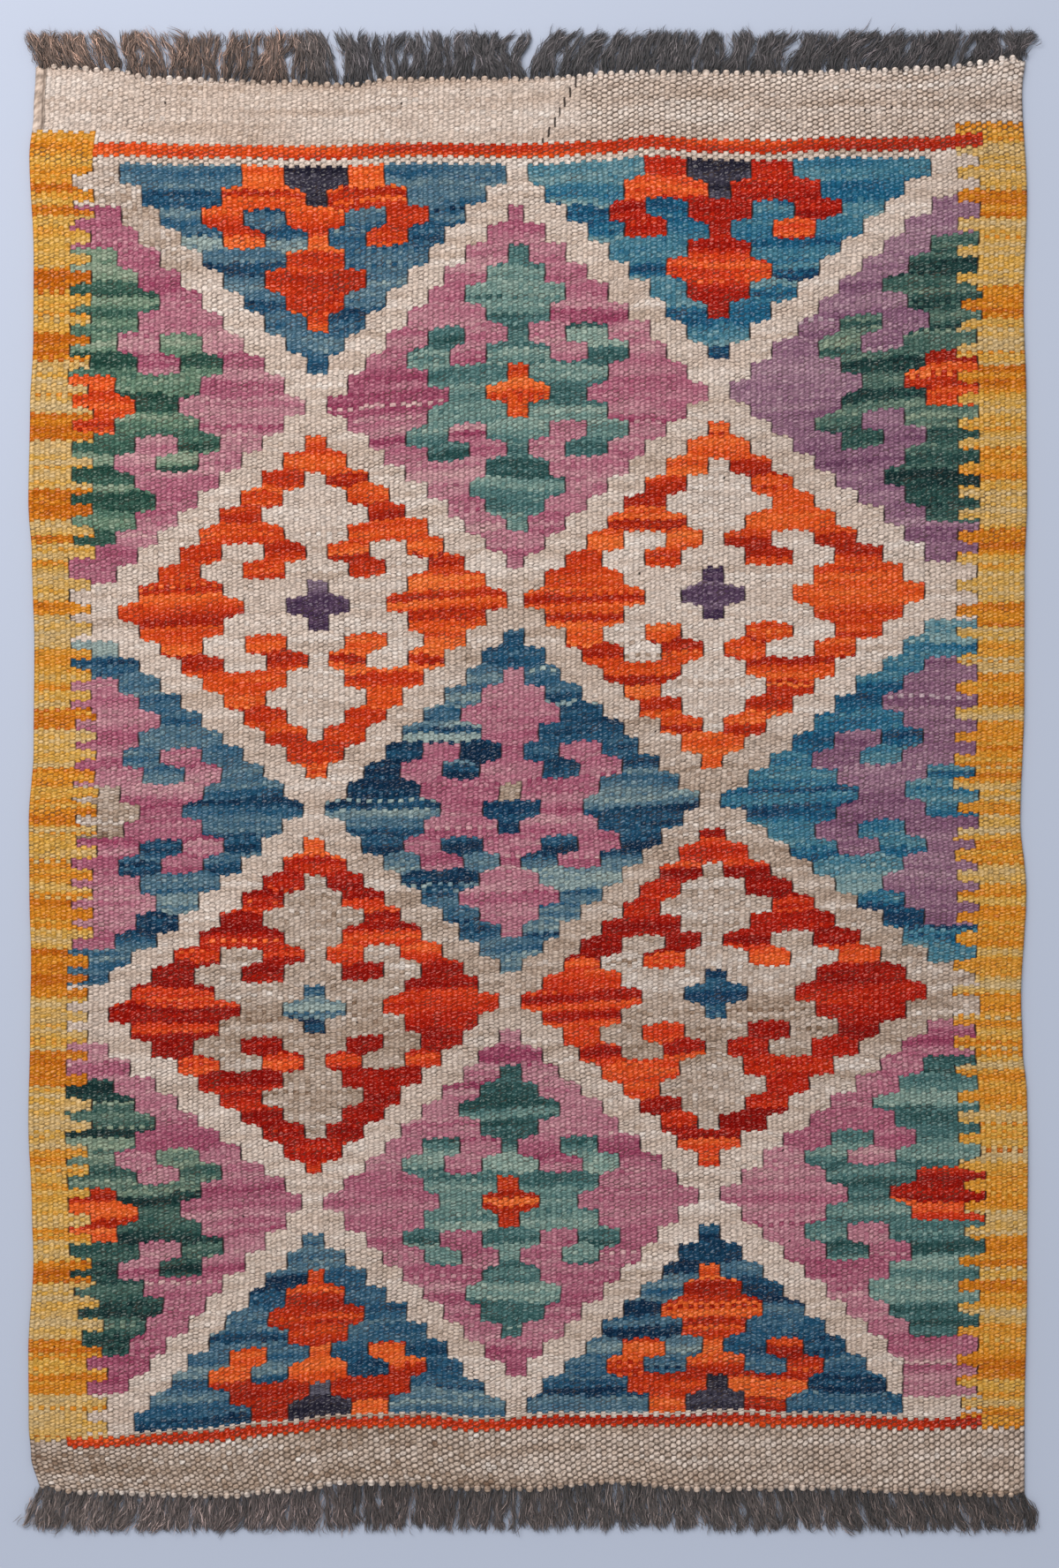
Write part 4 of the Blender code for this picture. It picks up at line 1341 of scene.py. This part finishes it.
FIBRE_LEVELS = (-1.0, 1.3)    # in mm under and over the strand
FIBRE_SETTLING = 0.3          # how much nearer to its level a fibre's tip lies
FIBRE_SIZES = (0.6, 1.5)
FIBRE_TONES = (-0.1, 0.6)     # middle and spread of a bell curve, as powers of e
# Pale fibres, partly real paler wool and partly painted highlight.
PALE_SHARE, PALE_TONE = 0.12, 3.4
# Painted shade: the fibres are darker towards the root.
FIBRE_PAINTED_SHADE = (0.32, 0.88)
PARTING_REACH = 9 * MM        # how far from a parting the strands give way to it
FAR_PARTINGS = (              # X in mm and how far the tips give way to each side
    (-243, 7.0), (-185, 2.5), (-142, 5.0), (-97, 3.0), (-2, 3.0), (24, 6.5), (229, 4.0), (288, 4.0),
)
NEAR_PARTINGS = (
    (-233, 3.5), (-174, 2.5), (-123, 2.5), (-63, 2.0), (-40, 2.5), (-11, 3.0), (296, 3.0),
)
FAR_LEAN = (                  # X in mm and lean in degrees, positive towards +X
    (-296, -18), (-286, -24), (-262, -22), (-246, -13), (-228, -14), (-200, -2),
    (-172, 6), (-128, -6), (-95, -2), (-60, 4), (-10, -3), (6, 25), (40, 17),
    (110, 12), (160, 20), (215, 28), (250, 22), (285, 20), (299, 20),
)
NEAR_LEAN = (
    (-296, -20), (-283, -13), (-230, -16), (-160, -8), (-110, 0), (-54, 1),
    (-28, -4), (60, 3), (110, 12), (190, 16), (262, 20), (299, 20),
)
FAR_WARP_COLOURS = (          # X in mm and a display colour
    (-300, 124, 98, 84), (-150, 116, 92, 80), (-125, 92, 80, 76), (-100, 76, 69, 70),
    (60, 78, 71, 71), (300, 74, 66, 66),
)
NEAR_WARP_COLOURS = (
    (-300, 114, 98, 92), (-130, 108, 92, 88), (-90, 90, 76, 72), (60, 92, 80, 76),
    (300, 80, 67, 62),
)
SAME_PLACE = 1e-7             # points nearer than this are one
STREAK_SHIFT = 1.37           # from one ply's streaks to the next one's
STREAK_STRETCH = (5.0, 3.0, 1.0)
STREAK_LIGHT, STREAK_ROUGHNESS = (0.35, 1.3), (0.4, 0.3)
STREAK_RELIEF, STREAK_DEPTH = 0.7, 0.3 * MM


def tubes(name, middles, sideways, radii, sides, colours):
    """Many closed tubes in one mesh. middles and sideways are by step, tube and axis."""
    steps, count = radii.shape
    last_column = count * (sides + 1) - 1
    bm = bmesh.new()
    bmesh.ops.create_grid(bm, x_segments=last_column, y_segments=steps - 1, size=1)
    mesh = bpy.data.meshes.new(name)
    bm.to_mesh(mesh)
    plan = points_of(mesh)
    column = np.round((plan[:, 0] + 1) / 2 * last_column).astype(int)
    step = np.round((plan[:, 1] + 1) / 2 * (steps - 1)).astype(int)
    tube = column // (sides + 1)
    side = column % (sides + 1)
    turn = (side % sides) / sides * math.tau
    radius = radii[step, tube][:, None]
    upwards = np.array([0.0, 0.0, 1.0])
    ring = np.cos(turn)[:, None] * sideways[step, tube] + np.sin(turn)[:, None] * upwards
    place = middles[step, tube] + radius * ring
    place[:, 2] = np.maximum(place[:, 2], LEAST_HEIGHT)
    store(mesh.vertices, "co", place)
    wool = mesh.attributes.new("wool", "FLOAT_COLOR", "POINT")
    store(wool.data, "color", np.concatenate([colours[step, tube], np.ones((len(tube), 1))], 1))
    run = mesh.uv_layers.new(name="run")
    vertex = corner_points(mesh)
    streak_start = tube[vertex] * STREAK_SHIFT
    store(run.data, "uv", np.stack([side[vertex] / sides + streak_start, step[vertex] / steps], 1))

    # Cut the sheet into its tubes, and close each along its seam and at its pointed ends.
    bm.clear()
    bm.from_mesh(mesh)
    bm.verts.ensure_lookup_table()
    between = [
        face for face in bm.faces
        if len({tube[vert.index] for vert in face.verts}) > 1
    ]
    bmesh.ops.delete(bm, geom=between, context="FACES_ONLY")
    bmesh.ops.remove_doubles(bm, verts=bm.verts, dist=SAME_PLACE)
    bmesh.ops.recalc_face_normals(bm, faces=bm.faces)
    bm.to_mesh(mesh)
    bm.free()
    mesh.shade_smooth()
    return mesh


def fringe(name, end, lean_rows, tousled, partings, colour_rows, seed):
    """One end's strands and their loose fibres; end is 1 at the far end, -1 at the near."""
    rng = np.random.default_rng(seed)
    warp = np.arange(WARPS) + 0.5 + rng.normal(0, STRAND_STRAY, WARPS)
    weft = np.full(WARPS, float(PASSES if end > 0 else 0))
    root_x, root_y = weave_places(np.clip(warp, 0.2, WARPS - 0.2), weft)
    root_y = root_y - end * ROOT_BURIED
    reach = RUG_LENGTH / 2 - np.abs(root_y)
    reach = reach * (1 - STRAND_TRIM * rng.random(WARPS) ** 2)
    lean = np.radians(eased(lean_rows, root_x / MM) + rng.normal(0, tousled, WARPS))
    clump = np.floor(np.cumsum(rng.random(WARPS) * CLUMP_STEP)).astype(int)
    clump_x = np.bincount(clump, root_x) / np.maximum(np.bincount(clump), 1)
    drawn_in = (clump_x[clump] - root_x) * CLUMP_DRAW
    tip_x = root_x + reach * np.tan(lean)
    for parting, width in partings:
        off = root_x - parting * MM
        tip_x = tip_x + np.sign(off) * width * MM * np.exp(-np.abs(off) / PARTING_REACH)
    farthest = RUG_WIDTH / 2 + TIP_OVERHANG
    tip_x = np.clip(tip_x, -farthest, farthest)
    tip_y = root_y + end * reach
    sway = (smooth_noise(seed + 30, warp, warp * 0.0, 4, 1) - 0.5) * tousled * SWAY
    curl = rng.normal(0, CURL + tousled * TOUSLED_CURL, WARPS) * MM
    curl_phase = rng.random(WARPS) * math.tau
    lift = rng.random(WARPS) * STRAND_LIFT

    def strand(at, which):
        """Places along strands, at shares of their length from 0 to 1."""
        x = root_x[which] + (tip_x - root_x)[which] * at ** LEAN_BEND
        x = x + drawn_in[which] * at ** CLUMP_BEND + sway[which] * np.sin(at * math.pi)
        x = x + curl[which] * np.sin(at * CURL_TURN + curl_phase[which]) * at ** CURL_BEND
        y = root_y[which] + (tip_y - root_y)[which] * at
        z = STRAND_HEIGHT + lift[which] * np.sin(math.pi * at) + ROOT_RISE * (1 - at)
        return np.stack([x, y, z], -1)

    def across_of(middles):
        """Level unit vectors across the runs of these middles."""
        run = np.gradient(middles, axis=0)
        across = np.stack([run[..., 1], -run[..., 0], np.zeros(run.shape[:-1])], -1)
        return across / np.maximum(np.linalg.norm(across, axis=-1, keepdims=True), 1e-9)

    base = np.stack([eased(colour_rows, root_x / MM, column) for column in (1, 2, 3)], 1)
    base = linear(base) * (1 + rng.normal(0, STRAND_TONE_SPREAD, (WARPS, 1)))

    # The plies of each strand wind round each other, more slowly to the tip, taper, and darken to the
    # root as painted shade.
    which = np.repeat(np.arange(WARPS), 2)
    at = np.linspace(0, 1, PLY_STEPS)[:, None] + np.zeros(len(which))
    middles = strand(at, which)
    across = across_of(middles)
    turns = PLY_TURNS * (1 + rng.normal(0, PLY_TURNS_SPREAD, WARPS))[which]
    start = (rng.random(WARPS)[which] + np.tile([0, 0.5], WARPS)) * math.tau
    wound = start + at * turns * math.tau * (1 - PLY_SLOWING * at)
    spread = PLY_SPREAD[0] + (PLY_SPREAD[1] - PLY_SPREAD[0]) * at ** 2
    middles = middles + across * (np.cos(wound) * spread)[..., None]
    middles[..., 2] += np.sin(wound) * spread * PLY_FLATNESS
    shape = np.minimum(at * PLY_TAPER[0], (1 - at) * PLY_TAPER[1]) ** PLY_TAPER[2]
    shape = np.minimum(1, shape)
    radii = PLY_RADIUS * shape * (1 + PLY_RADIUS_SPREAD * rng.normal(0, 1, shape.shape))
    shades = base[which] * (1 + rng.normal(0, PLY_TONE_SPREAD, (PLY_STEPS, len(which), 1)))
    shades = shades * (PLY_PAINTED_SHADE[0] + PLY_PAINTED_SHADE[1] * at[..., None])
    plies = tubes(name, middles, across, np.maximum(radii, 0), PLY_SIDES, shades)

    # Fibres cover the plies, stray from them and fan out at their tips.
    count = WARPS * FIBRES_PER_STRAND
    which = np.repeat(np.arange(WARPS), FIBRES_PER_STRAND)
    begins = rng.random(count) ** FIBRE_BEGINS[1] * FIBRE_BEGINS[0]
    long = rng.uniform(*FIBRE_LENGTH, count) * MM / reach[which]
    share = np.linspace(0, 1, FIBRE_STEPS)[:, None] + np.zeros(count)
    at = begins + share * np.minimum(long, FIBRE_LIMIT - begins)
    middles = strand(at, which)
    across = across_of(middles)
    off = rng.normal(0, FIBRE_OFF, count)
    away = rng.normal(0, 1, count) * (FIBRE_AWAY[0] + FIBRE_AWAY[1] * begins) * MM
    bend = rng.normal(0, FIBRE_BEND, count)
    off = off + away * share + bend * np.sin(share * FIBRE_ARC)
    middles = middles + across * off[..., None]
    middles[..., 2] += rng.uniform(*FIBRE_LEVELS, count) * MM * (1 - FIBRE_SETTLING * share)
    thickness = np.where((share > 0) & (share < 1), 1, 0)
    radii = FIBRE_RADIUS * thickness * rng.uniform(*FIBRE_SIZES, count)
    tone = np.exp(rng.normal(*FIBRE_TONES, (1, count, 1)))
    # Some fibres are pale, partly real paler wool and partly painted highlight.
    tone = np.where(rng.random((1, count, 1)) < PALE_SHARE, PALE_TONE, tone)
    # Painted shade, darker towards the root.
    painted_root_shade = FIBRE_PAINTED_SHADE[0] + FIBRE_PAINTED_SHADE[1] * np.clip(at * 2.0, 0, 1)
    shades = base[which] * tone * painted_root_shade[..., None]
    join_mesh(plies, tubes(name + "_hairs", middles, across, radii, 3, shades))
    plies.shade_smooth()
    piece = bpy.data.objects.new(name, plies)
    bpy.context.scene.collection.objects.link(piece)
    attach(piece, "root")
    return piece


def warp_wool(name):
    """Hairy undyed wool: streaks along each ply over the colour of its strand."""
    material, tree, shader = new_material(name, 0.6)
    shader.inputs["Sheen Weight"].default_value = 0.2
    shader.inputs["Specular IOR Level"].default_value = 0.5
    stretched = tree.nodes.new("ShaderNodeMapping")
    stretched.inputs["Scale"].default_value = STREAK_STRETCH
    tree.links.new(own_map(tree, "run"), stretched.inputs["Vector"])
    streak = noise(tree, stretched.outputs[0], 2.0, 3.0)
    light = line_of(tree, streak, STREAK_LIGHT[1], STREAK_LIGHT[0])
    dull = line_of(tree, streak, STREAK_ROUGHNESS[1], STREAK_ROUGHNESS[0])
    colour = tinted(tree, attribute(tree, "wool")["Color"], light)
    tree.links.new(colour, shader.inputs["Base Color"])
    tree.links.new(dull, shader.inputs["Roughness"])
    add_relief(tree, shader, streak, STREAK_RELIEF, STREAK_DEPTH)
    return material


far_fringe = fringe(
    "fringe_far_wool", 1, FAR_LEAN, 7, FAR_PARTINGS, FAR_WARP_COLOURS, 21
)
far_fringe.data.materials.append(warp_wool("far_warp_wool"))
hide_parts("fringe_far")
near_fringe = fringe(
    "fringe_near_wool", -1, NEAR_LEAN, 3.5, NEAR_PARTINGS, NEAR_WARP_COLOURS, 22
)
near_fringe.data.materials.append(warp_wool("near_warp_wool"))
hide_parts("fringe_near")
